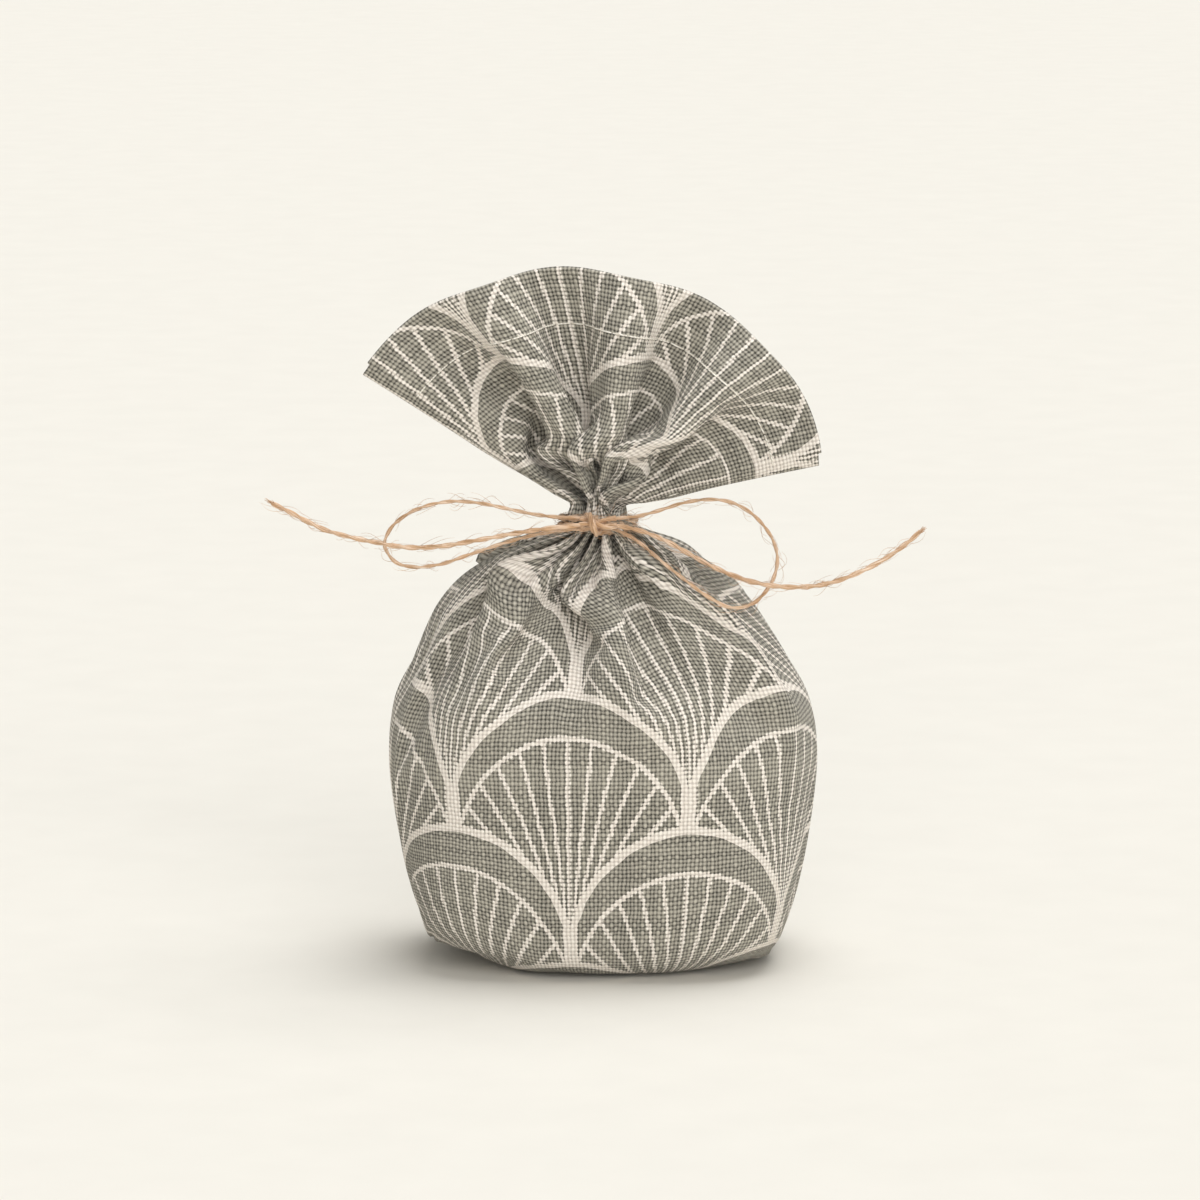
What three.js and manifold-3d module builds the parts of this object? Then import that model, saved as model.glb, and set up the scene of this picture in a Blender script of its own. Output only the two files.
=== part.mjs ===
// A small cloth pouch: two canvas panels sewn down the sides and across the bottom, filled,
// gathered at the neck and tied with a length of jute twine in a bow.
// Millimetres, +Z up, the front towards -Y, the origin at the centre of the base.
import * as THREE from "three";
import { mergeVertices } from "three/addons/utils/BufferGeometryUtils.js";
import Module from "manifold-3d";

// Cloth
const CLOTH_THICKNESS = 0.7;
const SEAM_GAP = 0.4; // between the two panels, along their seams
const SEAM_ALLOWANCE = 4; // turned in along the sides and the bottom
const HEM_DEPTH = 12; // turned in along the mouth
const HEM_FOLD = 0.6; // radius of the fold at the mouth's edge
const STITCH_MARGIN = 1.5; // from the stitches to the hem's raw edge
const HEM_NARROWING = 0.9; // width of the hem's inner layer as a share of the panel's
const THREAD_DIAMETER = 0.5;
const SEAM_LINE = 1.2; // from the cloth's fold to the stitches along the sides and the bottom
const CLEARANCE = 0.3; // between pieces that rest on each other

// Filled body, from the base to the tie
const BASE_WIDTH = 75.6;
const BASE_DEPTH = 55;
const BOTTOM_SEAM_LENGTH = 58;
const HEEL_RADIUS = 8; // rounding of the base's edge
const LOWER_WIDTH = 84.6;
const LOWER_DEPTH = 60.4;
const LOWER_HEIGHT = 27.5;
const BELLY_WIDTH = 87.6;
const BELLY_DEPTH = 62;
const BELLY_HEIGHT = 44.5;
const UPPER_WIDTH = 79;
const UPPER_DEPTH = 58;
const UPPER_HEIGHT = 58;
const SHOULDER_WIDTH = 58.5;
const SHOULDER_DEPTH = 44;
const SHOULDER_HEIGHT = 73.5;
const THROAT_WIDTH = 27;
const THROAT_DEPTH = 24;
const THROAT_HEIGHT = 84.5;
const BODY_SQUARENESS = 2.5; // exponent of the body's plan outline: 2 is an ellipse
const BODY_OFFSET = 2; // the belly stands this far right of the base's centre
const FILLING_TOP = 74.5; // level of the filling's shoulder
const FILLING_DOME = 4; // how far its middle rises above that
const FILLING_SLACK = 1.1; // how far it keeps inside the pleats' valleys, as a share of their depth

// Tied neck
const NECK_HEIGHT = 90;
const NECK_OFFSET = 1; // the neck stands this far right of the base's centre
const NECK_RADIUS = 5.6; // of the gathered cloth, halfway down its pleats
const TIE_BAND = 6.4; // height of the straight stretch under the twine

// Head: the cloth above the tie, spread as a fan
const FAN_LEFT = 148; // direction of the left side seam, in degrees up from +X
const FAN_RIGHT = 13; // direction of the right side seam
const REACH_LEFT = 49; // from the tie to the mouth's edge, at the left seam
const REACH_MIDDLE = 46.3; // the same halfway between the seams
const REACH_RIGHT = 39.5; // the same at the right seam
const MOUTH_FRONT = 4; // from the seam plane to the front panel, at the mouth's middle
const MOUTH_BACK = 13; // the same to the back panel
const BACK_DROP = 3.5; // how much lower the back panel's edge hangs
const RIGHT_LEAN = 8; // how far the right corner leans forward

// Pleats of each panel. Pitch and places across go by its half width: -1 is the left seam, 1 the right.
const BODY_PITCH = 0.52;
const HEAD_PITCH = 0.79;
const FRONT_RIDGES = { body: 0, head: 0.16 }; // place of one ridge below the tie, and of one above it
const BACK_RIDGES = { body: 0.14, head: 0.44 };
const PLEATS_FADE_FROM = 0.74; // where the pleats start to die out towards the seams
const PLEATS_FADE_TO = 0.97;
const UPPER_PLEAT = 2.2; // depth of the pleats from their middle to a ridge, level by level
const SHOULDER_PLEAT = 4;
const THROAT_PLEAT = 2.6;
const NECK_PLEAT = 1.9;
const HEAD_PLEAT = 7;
const MOUTH_PLEAT = 2.2;
const HEAD_PLEAT_AT = 0.34; // share of the reach where the head's pleats are deepest
const HEAD_PLEAT_END = 0.66; // share of the reach where they have opened out to the mouth's

// Twine
const TWINE_DIAMETER = 1.6;
const WRAP_TURNS = 2;
const WRAP_PITCH = 2.1;
const KNOT_LENGTH = 6.4;
const KNOT_CORE_DIAMETER = 3.8;
const KNOT_PITCH = 2.1; // of the one turn round the knot's core
const KNOT_SINK = 0.25; // how far that turn is pressed into the core
const TWINE_STEP = 3.9; // length of one step of a free stretch

// Facets
const PANEL_COLUMNS = 32;
const WALL_ROWS = 11;
const HEEL_ROWS = 3;
const HEAD_ROWS = 5; // from the tie to the hem's stitches
const HEM_ROWS = 2; // from the stitches to the mouth's edge
const TWINE_SIDES = 8;
const THREAD_SIDES = 5;
const FILLING_COLUMNS = 36;
const HEM_END_COLUMNS = 2; // columns at each side that the hem's thread stops short of

const CANVAS = new THREE.MeshStandardMaterial({ color: 0x918c80, roughness: 0.92, metalness: 0 });
const THREAD = new THREE.MeshStandardMaterial({ color: 0xe6ded2, roughness: 0.8, metalness: 0 });
const JUTE = new THREE.MeshStandardMaterial({ color: 0xb98a5a, roughness: 0.95, metalness: 0 });
const FIBREFILL = new THREE.MeshStandardMaterial({ color: 0xf0ece2, roughness: 1, metalness: 0 });

const FRONT = -1;
const BACK = 1;
const lerp = THREE.MathUtils.lerp;
const degToRad = THREE.MathUtils.degToRad;

const wasm = await Module();
wasm.setup();

// A closed geometry as a manifold-3d solid, for joining and cutting.
function solidOf(geometry) {
  const bare = geometry.clone();
  bare.deleteAttribute("normal");
  bare.deleteAttribute("uv");
  const merged = mergeVertices(bare, 1e-4);
  return new wasm.Manifold(
    new wasm.Mesh({
      numProp: 3,
      vertProperties: new Float32Array(merged.attributes.position.array),
      triVerts: new Uint32Array(merged.index.array),
    }),
  );
}

// A manifold-3d solid as a geometry.
function geometryOf(solid) {
  const mesh = solid.getMesh();
  const geometry = new THREE.BufferGeometry();
  geometry.setAttribute("position", new THREE.BufferAttribute(new Float32Array(mesh.vertProperties), 3));
  geometry.setIndex(new THREE.BufferAttribute(new Uint32Array(mesh.triVerts), 1));
  return geometry;
}

function geometryFrom(points, triangles) {
  const geometry = new THREE.BufferGeometry().setFromPoints(points);
  geometry.setIndex(triangles);
  return geometry;
}

// Direction square to a grid of points at one of them. Along the side seams it lies in the seams' plane.
function gridNormal(grid, row, column) {
  const rows = grid.length - 1;
  const columns = grid[0].length - 1;
  const along = grid[row][Math.min(column + 1, columns)].clone().sub(grid[row][Math.max(column - 1, 0)]);
  const up = grid[Math.min(row + 1, rows)][column].clone().sub(grid[Math.max(row - 1, 0)][column]);
  const normal = along.cross(up);
  if (row > 0 && (column === 0 || column === columns)) normal.y = 0;
  return normal.normalize();
}

// A grid of points, rows from the bottom up and columns from left to right, thickened into a closed shell.
function shellOf(grid, thickness) {
  const rows = grid.length;
  const columns = grid[0].length;
  const points = [];
  for (const layer of [1, -1]) {
    for (let row = 0; row < rows; row += 1) {
      for (let column = 0; column < columns; column += 1) {
        const offset = gridNormal(grid, row, column).multiplyScalar((layer * thickness) / 2);
        points.push(grid[row][column].clone().add(offset));
      }
    }
  }
  const inner = rows * columns;
  const at = (row, column) => row * columns + column;
  const triangles = [];
  for (let row = 0; row + 1 < rows; row += 1) {
    for (let column = 0; column + 1 < columns; column += 1) {
      const corners = [at(row, column), at(row, column + 1), at(row + 1, column + 1), at(row + 1, column)];
      triangles.push(corners[0], corners[1], corners[2], corners[0], corners[2], corners[3]);
      const [a, b, c, d] = corners.map((corner) => corner + inner);
      triangles.push(a, c, b, a, d, c);
    }
  }
  const rim = (a, b) => triangles.push(b, a, a + inner, b, a + inner, b + inner);
  for (let column = 0; column + 1 < columns; column += 1) {
    rim(at(0, column), at(0, column + 1));
    rim(at(rows - 1, column + 1), at(rows - 1, column));
  }
  for (let row = 0; row + 1 < rows; row += 1) {
    rim(at(row + 1, 0), at(row, 0));
    rim(at(row, columns - 1), at(row + 1, columns - 1));
  }
  return geometryFrom(points, triangles);
}

// Closed rings of points, one above the other, joined into a solid with flat ends.
function loftOf(rings) {
  const count = rings[0].length;
  const points = rings.flat();
  const triangles = [];
  for (let ring = 0; ring + 1 < rings.length; ring += 1) {
    for (let i = 0; i < count; i += 1) {
      const a = ring * count + i;
      const b = ring * count + ((i + 1) % count);
      triangles.push(a, b, b + count, a, b + count, a + count);
    }
  }
  const cap = (ring, turn) => {
    const centre = points.length;
    const sum = new THREE.Vector3();
    rings[ring].forEach((point) => sum.add(point));
    points.push(sum.divideScalar(count));
    for (let i = 0; i < count; i += 1) {
      const a = ring * count + i;
      const b = ring * count + ((i + 1) % count);
      if (turn) triangles.push(centre, b, a);
      else triangles.push(centre, a, b);
    }
  };
  cap(0, true);
  cap(rings.length - 1, false);
  return geometryFrom(points, triangles);
}

// A round tube along a curve, closed at both ends.
function tubeOf(curve, diameter, sides, steps) {
  const section = new THREE.Shape();
  for (let i = 0; i < sides; i += 1) {
    const turn = (2 * Math.PI * i) / sides;
    const x = (Math.cos(turn) * diameter) / 2;
    const y = (Math.sin(turn) * diameter) / 2;
    if (i === 0) section.moveTo(x, y);
    else section.lineTo(x, y);
  }
  section.closePath();
  return new THREE.ExtrudeGeometry(section, { extrudePath: curve, steps, curveSegments: 1 });
}

const smoothThrough = (points) => new THREE.CatmullRomCurve3(points, false, "centripetal");
const stepsOf = (curve) => Math.ceil(curve.getLength() / TWINE_STEP);

// Pleats across a panel: 1 on a ridge, -1 in a valley, dying out towards the seams.
function pleatWave(across, pitch, ridge) {
  const fade = 1 - THREE.MathUtils.smoothstep(Math.abs(across), PLEATS_FADE_FROM, PLEATS_FADE_TO);
  return Math.cos((2 * Math.PI * (across - ridge)) / pitch) * fade;
}

const ridgesOf = (side) => (side === FRONT ? FRONT_RIDGES : BACK_RIDGES);

// Middle of the body at a height, between the belly's and the neck's.
function bodyMiddle(height) {
  return lerp(BODY_OFFSET, NECK_OFFSET, THREE.MathUtils.smoothstep(height, BELLY_HEIGHT, NECK_HEIGHT));
}

// Half widths and half depths of the cloth's middle surface at the body's main levels, with their pleats.
const level = (width, depth, height, pleat) => ({ width: width / 2, depth: depth / 2, height, pleat });
const NECK_BOTTOM = NECK_HEIGHT - TIE_BAND / 2;
const NECK_TOP = NECK_HEIGHT + TIE_BAND / 2;
const HEEL_TOP = level(BASE_WIDTH, BASE_DEPTH, HEEL_RADIUS, 0);
const WALL_LEVELS = [
  HEEL_TOP,
  level(LOWER_WIDTH, LOWER_DEPTH, LOWER_HEIGHT, 0),
  level(BELLY_WIDTH, BELLY_DEPTH, BELLY_HEIGHT, 0),
  level(UPPER_WIDTH, UPPER_DEPTH, UPPER_HEIGHT, UPPER_PLEAT),
  level(SHOULDER_WIDTH, SHOULDER_DEPTH, SHOULDER_HEIGHT, SHOULDER_PLEAT),
  level(THROAT_WIDTH, THROAT_DEPTH, THROAT_HEIGHT, THROAT_PLEAT),
  level(2 * NECK_RADIUS, 2 * NECK_RADIUS, NECK_BOTTOM, NECK_PLEAT),
];

// A level for each row of a panel below the tie, from the bottom seam to the top of the tie's band.
function bodyLevels() {
  const floor = CLOTH_THICKNESS / 2;
  const flatWidth = BASE_WIDTH - 2 * HEEL_RADIUS;
  const flatDepth = BASE_DEPTH - 2 * HEEL_RADIUS;
  const levels = [
    level(Math.min(BOTTOM_SEAM_LENGTH, flatWidth), SEAM_GAP, floor, 0),
    level(flatWidth, flatDepth, floor, 0),
  ];
  for (let i = 1; i <= HEEL_ROWS; i += 1) {
    const turn = (Math.PI / 2) * (i / HEEL_ROWS);
    const out = 2 * HEEL_RADIUS * Math.sin(turn);
    const rise = (HEEL_RADIUS - floor) * (1 - Math.cos(turn));
    levels.push(level(flatWidth + out, flatDepth + out, floor + rise, 0));
  }
  const plan = smoothThrough(WALL_LEVELS.map((at) => new THREE.Vector3(at.width, at.depth, at.height)));
  const depthOfPleat = smoothThrough(WALL_LEVELS.map((at) => new THREE.Vector3(at.pleat, 0, at.height)));
  for (let i = 1; i <= WALL_ROWS; i += 1) {
    const point = plan.getPoint(i / WALL_ROWS);
    const pleat = Math.max(0, depthOfPleat.getPoint(i / WALL_ROWS).x);
    levels.push({ width: point.x, depth: point.y, height: point.z, pleat });
  }
  levels.push({ ...levels[levels.length - 1], height: NECK_TOP });
  return levels;
}

// Superellipse in plan, reached from the left seam (across = -1) to the right one (across = 1).
function planPoint(at, across, side) {
  const turn = (Math.PI / 2) * across;
  const filled = THREE.MathUtils.smoothstep(at.width, NECK_RADIUS, BASE_WIDTH / 2);
  const squareness = lerp(2, BODY_SQUARENESS, filled);
  const power = 2 / squareness;
  const x = Math.sign(across) * Math.abs(Math.sin(turn)) ** power;
  const y = Math.abs(Math.cos(turn)) ** power;
  const wave = pleatWave(across, BODY_PITCH, ridgesOf(side).body);
  const out = (at.pleat * wave) / Math.max(at.depth, NECK_RADIUS);
  return new THREE.Vector3(
    bodyMiddle(at.height) + at.width * x * (1 + out),
    side * (SEAM_GAP / 2 + Math.max(at.depth - SEAM_GAP / 2, 0) * y * (1 + out)),
    at.height,
  );
}

// Point of a head panel, a share of the way from the tie to the mouth's edge along the rib at across.
// Past the edge the share goes down again, and inward moves the point into the hem's inner layer.
function headPoint(share, inward, across, side) {
  const round = Math.sqrt(Math.max(0, 1 - across * across));
  const direction = degToRad(lerp(FAN_LEFT, FAN_RIGHT, (across + 1) / 2));
  const drop = side === BACK ? BACK_DROP * round : 0;
  const bulge = (REACH_MIDDLE - (REACH_LEFT + REACH_RIGHT) / 2) * (1 - across * across);
  const reach = lerp(REACH_LEFT, REACH_RIGHT, (across + 1) / 2) + bulge - drop;
  const rise = share / HEAD_PLEAT_AT;
  const pleat =
    rise < 1
      ? lerp(NECK_PLEAT, HEAD_PLEAT, Math.sin((Math.PI / 2) * rise))
      : lerp(HEAD_PLEAT, MOUTH_PLEAT, THREE.MathUtils.smoothstep(share, HEAD_PLEAT_AT, HEAD_PLEAT_END));
  const ridges = ridgesOf(side);
  const wave = lerp(
    pleatWave(across, BODY_PITCH, ridges.body),
    pleatWave(across, HEAD_PITCH, ridges.head),
    THREE.MathUtils.smoothstep(rise, 0, 1),
  );
  const mouth = side === FRONT ? MOUTH_FRONT : MOUTH_BACK;
  const gape = lerp(NECK_RADIUS, mouth, share) * round;
  const lean = RIGHT_LEAN * share * THREE.MathUtils.smoothstep(across, 0, 1);
  return new THREE.Vector3(
    NECK_OFFSET + NECK_RADIUS * Math.sin((Math.PI / 2) * across) + reach * share * Math.cos(direction),
    side * (SEAM_GAP / 2 + gape + pleat * wave - inward) - lean,
    NECK_TOP + reach * share * Math.sin(direction),
  );
}

// Rows of a panel: up the body, through the tie, up the head, over the mouth's edge and down inside the hem.
function panelGrid(side) {
  const across = (column) => -1 + (2 * column) / PANEL_COLUMNS;
  const columns = Array.from({ length: PANEL_COLUMNS + 1 }, (_, column) => across(column));
  const grid = bodyLevels().map((at) => columns.map((x) => planPoint(at, x, side)));
  const edge = 1 + HEM_FOLD / REACH_LEFT;
  const hemEnd = 1 - HEM_DEPTH / REACH_LEFT;
  const stitches = hemEnd + STITCH_MARGIN / REACH_LEFT;
  const headRow = (share) => columns.map((x) => headPoint(share, 0, x, side));
  for (let i = 1; i <= HEAD_ROWS; i += 1) grid.push(headRow((stitches * i) / HEAD_ROWS));
  for (let i = 1; i <= HEM_ROWS; i += 1) grid.push(headRow(lerp(stitches, 1, i / HEM_ROWS)));
  const hemRow = (share, inward, width) => columns.map((x) => headPoint(share, inward, x * width, side));
  grid.push(hemRow(edge, HEM_FOLD, (1 + HEM_NARROWING) / 2));
  grid.push(hemRow(1, 2 * HEM_FOLD, HEM_NARROWING));
  grid.push(hemRow((1 + hemEnd) / 2, 2 * HEM_FOLD, HEM_NARROWING));
  grid.push(hemRow(hemEnd, 2 * HEM_FOLD, HEM_NARROWING));
  return grid;
}

function named(name, geometry, material) {
  const mesh = new THREE.Mesh(geometry, material);
  mesh.name = name;
  return mesh;
}

// Thread along the hem, on the outside of a panel from column to column.
function hemStitch(grid, side) {
  const row = bodyLevels().length - 1 + HEAD_ROWS;
  const off = CLOTH_THICKNESS / 2 + CLEARANCE + THREAD_DIAMETER / 2;
  const points = [];
  for (let column = HEM_END_COLUMNS; column <= PANEL_COLUMNS - HEM_END_COLUMNS; column += 1) {
    const out = gridNormal(grid, row, column).multiplyScalar(-side * off);
    points.push(grid[row][column].clone().add(out));
  }
  return tubeOf(smoothThrough(points), THREAD_DIAMETER, THREAD_SIDES, points.length + 8);
}

// The seam as a line in its plane: from the neck down the left side, along the bottom and up the right side.
function seamLine() {
  const levels = bodyLevels().filter((at) => at.height < NECK_BOTTOM - CLEARANCE);
  const left = levels.map((at) => new THREE.Vector2(bodyMiddle(at.height) - at.width, at.height));
  const right = levels.map((at) => new THREE.Vector2(bodyMiddle(at.height) + at.width, at.height));
  return [...left.reverse(), ...right];
}

// The same line moved into the pouch.
function inset(line, distance) {
  return line.map((point, i) => {
    const before = line[Math.max(i - 1, 0)];
    const after = line[Math.min(i + 1, line.length - 1)];
    const along = after.clone().sub(before).normalize();
    return new THREE.Vector2(point.x - along.y * distance, point.y + along.x * distance);
  });
}

// A band of the seam's plane between two insets of its line, with a thickness from one depth to another.
function seamBand(from, to, front, back) {
  const line = seamLine();
  const shape = new THREE.Shape([...inset(line, from), ...inset(line, to).reverse()]);
  const band = new THREE.ExtrudeGeometry(shape, { depth: back - front, bevelEnabled: false });
  return band.rotateX(Math.PI / 2).translate(0, back, 0);
}

const ALLOWANCE_FROM = CLOTH_THICKNESS / 2 + CLEARANCE;
const ALLOWANCE_TO = ALLOWANCE_FROM + SEAM_ALLOWANCE;
const SEAM_THREAD_AT = -(CLOTH_THICKNESS + CLEARANCE + THREAD_DIAMETER / 2);

function seamAllowance() {
  return seamBand(ALLOWANCE_FROM, ALLOWANCE_TO, -CLOTH_THICKNESS, CLOTH_THICKNESS);
}

function seamThread() {
  const line = inset(seamLine(), ALLOWANCE_FROM + SEAM_LINE);
  const path = smoothThrough(line.map((point) => new THREE.Vector3(point.x, SEAM_THREAD_AT, point.y)));
  return tubeOf(path, THREAD_DIAMETER, THREAD_SIDES, 3 * line.length);
}

// Soft contents: the inside of the filled body, grooved for the turned-in seam and its thread.
function filling() {
  const off = CLOTH_THICKNESS / 2 + CLEARANCE;
  const ringAt = (at) => {
    const ring = [];
    for (let i = 0; i < FILLING_COLUMNS; i += 1) {
      const turn = (4 * i) / FILLING_COLUMNS - 1;
      const side = turn <= 1 ? FRONT : BACK;
      ring.push(planPoint({ ...at, pleat: 0 }, turn <= 1 ? turn : 2 - turn, side));
    }
    return ring;
  };
  const flat = { width: BASE_WIDTH / 2 - HEEL_RADIUS, depth: BASE_DEPTH / 2 - HEEL_RADIUS };
  const floor = CLOTH_THICKNESS / 2 + off;
  const radius = HEEL_RADIUS - off;
  const rings = [];
  for (let i = 0; i <= HEEL_ROWS; i += 1) {
    const turn = (Math.PI / 2) * (i / HEEL_ROWS);
    const out = radius * Math.sin(turn);
    const height = floor + (HEEL_RADIUS - floor) * (1 - Math.cos(turn));
    rings.push(ringAt({ width: flat.width + out, depth: flat.depth + out, height }));
  }
  const walls = bodyLevels().filter((at) => at.height > HEEL_RADIUS + CLEARANCE && at.height < FILLING_TOP);
  for (const at of walls) {
    const inside = 1 - (FILLING_SLACK * at.pleat) / at.depth;
    const inward = off + CLEARANCE;
    const width = at.width * inside - inward;
    const depth = at.depth * inside - inward;
    rings.push(ringAt({ width, depth, height: at.height }));
  }
  const top = walls[walls.length - 1];
  rings.push(ringAt({ width: top.width / 2, depth: top.depth / 2, height: top.height + FILLING_DOME }));
  const reach = ALLOWANCE_TO + CLEARANCE;
  const front = SEAM_THREAD_AT - THREAD_DIAMETER / 2 - CLEARANCE;
  const groove = seamBand(-HEEL_RADIUS / 2, reach, front, CLOTH_THICKNESS + CLEARANCE);
  return geometryOf(solidOf(loftOf(rings)).subtract(solidOf(groove)));
}

// Turns of twine round the neck, their ends running straight behind the knot.
const WRAP_RADIUS = NECK_RADIUS + NECK_PLEAT + CLOTH_THICKNESS / 2 + CLEARANCE + TWINE_DIAMETER / 2;

function twineWrap() {
  const perTurn = 18;
  const points = [];
  const start = new THREE.Vector3(NECK_OFFSET, -WRAP_RADIUS, NECK_HEIGHT - (WRAP_TURNS * WRAP_PITCH) / 2);
  points.push(start.clone().add(new THREE.Vector3(-TWINE_DIAMETER, 0, 0)));
  for (let i = 0; i <= WRAP_TURNS * perTurn; i += 1) {
    const turn = (2 * Math.PI * i) / perTurn;
    const rise = (WRAP_PITCH * i) / perTurn;
    points.push(
      new THREE.Vector3(
        NECK_OFFSET + WRAP_RADIUS * Math.sin(turn),
        -WRAP_RADIUS * Math.cos(turn),
        start.z + rise,
      ),
    );
  }
  points.push(points[points.length - 1].clone().add(new THREE.Vector3(TWINE_DIAMETER, 0, 0)));
  let least = Infinity;
  points.forEach((point, i) => {
    for (const other of points.slice(i + perTurn / 2)) least = Math.min(least, point.distanceTo(other));
  });
  console.log(`least gap between turns of the tie: ${(least - TWINE_DIAMETER).toFixed(2)} mm`);
  return tubeOf(smoothThrough(points), TWINE_DIAMETER, TWINE_SIDES, points.length + 3);
}

// Knot of the bow: a core of strands lying across the neck, with one turn of twine round it.
const KNOT_RADIUS = KNOT_CORE_DIAMETER / 2 + TWINE_DIAMETER - KNOT_SINK;
const KNOT_PLACE = new THREE.Vector3(
  NECK_OFFSET,
  -(WRAP_RADIUS + TWINE_DIAMETER / 2 + CLEARANCE + KNOT_RADIUS),
  NECK_HEIGHT,
);

function bowKnot() {
  const radius = KNOT_CORE_DIAMETER / 2;
  const straight = KNOT_LENGTH / 2 - radius;
  const profile = [];
  for (let i = -6; i <= 6; i += 1) {
    const turn = (Math.PI / 2) * (i / 6);
    const middle = i === 0 ? [-straight, straight] : [Math.sign(i) * straight];
    for (const shift of middle) {
      const across = Math.abs(i) === 6 ? 0 : radius * Math.cos(turn);
      profile.push(new THREE.Vector2(across, shift + radius * Math.sin(turn)));
    }
  }
  const core = new THREE.LatheGeometry(profile, 16).rotateZ(-Math.PI / 2);
  const around = radius + TWINE_DIAMETER / 2 - KNOT_SINK;
  const points = [];
  for (let i = 0; i <= 14; i += 1) {
    const turn = 2 * Math.PI * (i / 14);
    points.push(
      new THREE.Vector3(KNOT_PITCH * (i / 14 - 0.5), around * Math.cos(turn), around * Math.sin(turn)),
    );
  }
  const belt = tubeOf(smoothThrough(points), TWINE_DIAMETER, TWINE_SIDES, 18);
  const knot = geometryOf(solidOf(core).add(solidOf(belt)));
  return knot.translate(KNOT_PLACE.x, KNOT_PLACE.y, KNOT_PLACE.z);
}

// Routes of the free twine, right, back and up from the knot's middle.
const LEFT_LOOP = [
  [-3.3, 0.9, 1.05], [-8, 1, 1.3], [-13, 1.2, 1.9], [-18, 1.5, 2.9], [-23, 1.8, 3.9], [-28, 2, 4.3],
  [-33, 2.1, 3.6], [-37.5, 2.2, 1.8], [-41, 2.2, -1.2], [-42.2, 2.2, -4.6], [-40, 2.2, -7.8],
  [-36, 2.2, -8.6], [-31, 2, -7.7], [-25, 1.7, -5.9], [-19, 1.4, -4], [-13, 1.1, -2.4],
  [-8, 1, -1.5], [-3.3, 0.9, -1.05],
];
const RIGHT_LOOP = [
  [3.3, 0.9, 1.05], [7.5, 1.1, 1.4], [12, 1.5, 2.5], [16.5, 1.9, 3.9], [21, 2.1, 4.6], [25.5, 2.1, 4.3],
  [29.5, 1.9, 2.5], [32.8, 1.6, -0.6], [35, 1.1, -4.4], [35.4, 0.2, -8], [33.8, -1.5, -11.9],
  [30, -4, -14.9], [26, -5.9, -15.3], [21.5, -6.5, -13.1], [17, -5.6, -9.9], [12, -3.2, -6.3],
  [7.5, -0.2, -3.1], [3.3, 0.9, -1.05],
];
const LEFT_TAIL = [
  [-3.45, -1.3, 0], [-8, -1.4, -0.4], [-13, -1.6, -1], [-18, -1.8, -1.8], [-23, -2, -2.7],
  [-28, -2.1, -3.6], [-33, -2.2, -4.2], [-38, -2.2, -4.2], [-43, -2.2, -3.4], [-48, -2.1, -2.4],
  [-52.5, -2, -1.2], [-56.5, -1.9, 0.5], [-60.5, -1.8, 2.6], [-64.2, -1.7, 4.5],
];
const RIGHT_TAIL = [
  [3.45, -1.3, 0], [7.5, -2.2, -0.7], [12, -3.2, -2.1], [16.5, -4, -4.4], [21, -4.5, -6.9],
  [25.5, -4.7, -9], [30, -4.7, -10.6], [34.5, -4.6, -11.5], [39, -4.4, -11.8], [44, -4.1, -11.4],
  [49, -3.8, -10], [53.5, -3.5, -8], [57.5, -3.2, -5.7], [60.8, -3, -3.3], [63.4, -2.8, -1],
];

function freeTwine(route) {
  const curve = smoothThrough(route.map(([x, y, z]) => KNOT_PLACE.clone().add(new THREE.Vector3(x, y, z))));
  return tubeOf(curve, TWINE_DIAMETER, TWINE_SIDES, stepsOf(curve));
}

const frontGrid = panelGrid(FRONT);
const backGrid = panelGrid(BACK);
const pouch = new THREE.Group();
pouch.name = "drawstring_pouch";
pouch.add(
  named("front_panel", shellOf(frontGrid, CLOTH_THICKNESS), CANVAS.clone()),
  named("back_panel", shellOf(backGrid, CLOTH_THICKNESS), CANVAS.clone()),
  named("front_hem_stitch", hemStitch(frontGrid, FRONT), THREAD.clone()),
  named("back_hem_stitch", hemStitch(backGrid, BACK), THREAD.clone()),
  named("seam_allowance", seamAllowance(), CANVAS.clone()),
  named("seam_stitch", seamThread(), THREAD.clone()),
  named("filling", filling(), FIBREFILL.clone()),
  named("twine_wrap", twineWrap(), JUTE.clone()),
  named("bow_knot", bowKnot(), JUTE.clone()),
  named("left_loop", freeTwine(LEFT_LOOP), JUTE.clone()),
  named("right_loop", freeTwine(RIGHT_LOOP), JUTE.clone()),
  named("left_tail", freeTwine(LEFT_TAIL), JUTE.clone()),
  named("right_tail", freeTwine(RIGHT_TAIL), JUTE.clone()),
);

export default pouch;
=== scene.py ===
"""A printed cotton pouch, filled, gathered at the neck and tied with a jute bow, over its CAD frame."""
import logging
import math
from dataclasses import dataclass, field
from enum import Enum
from functools import partial

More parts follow.
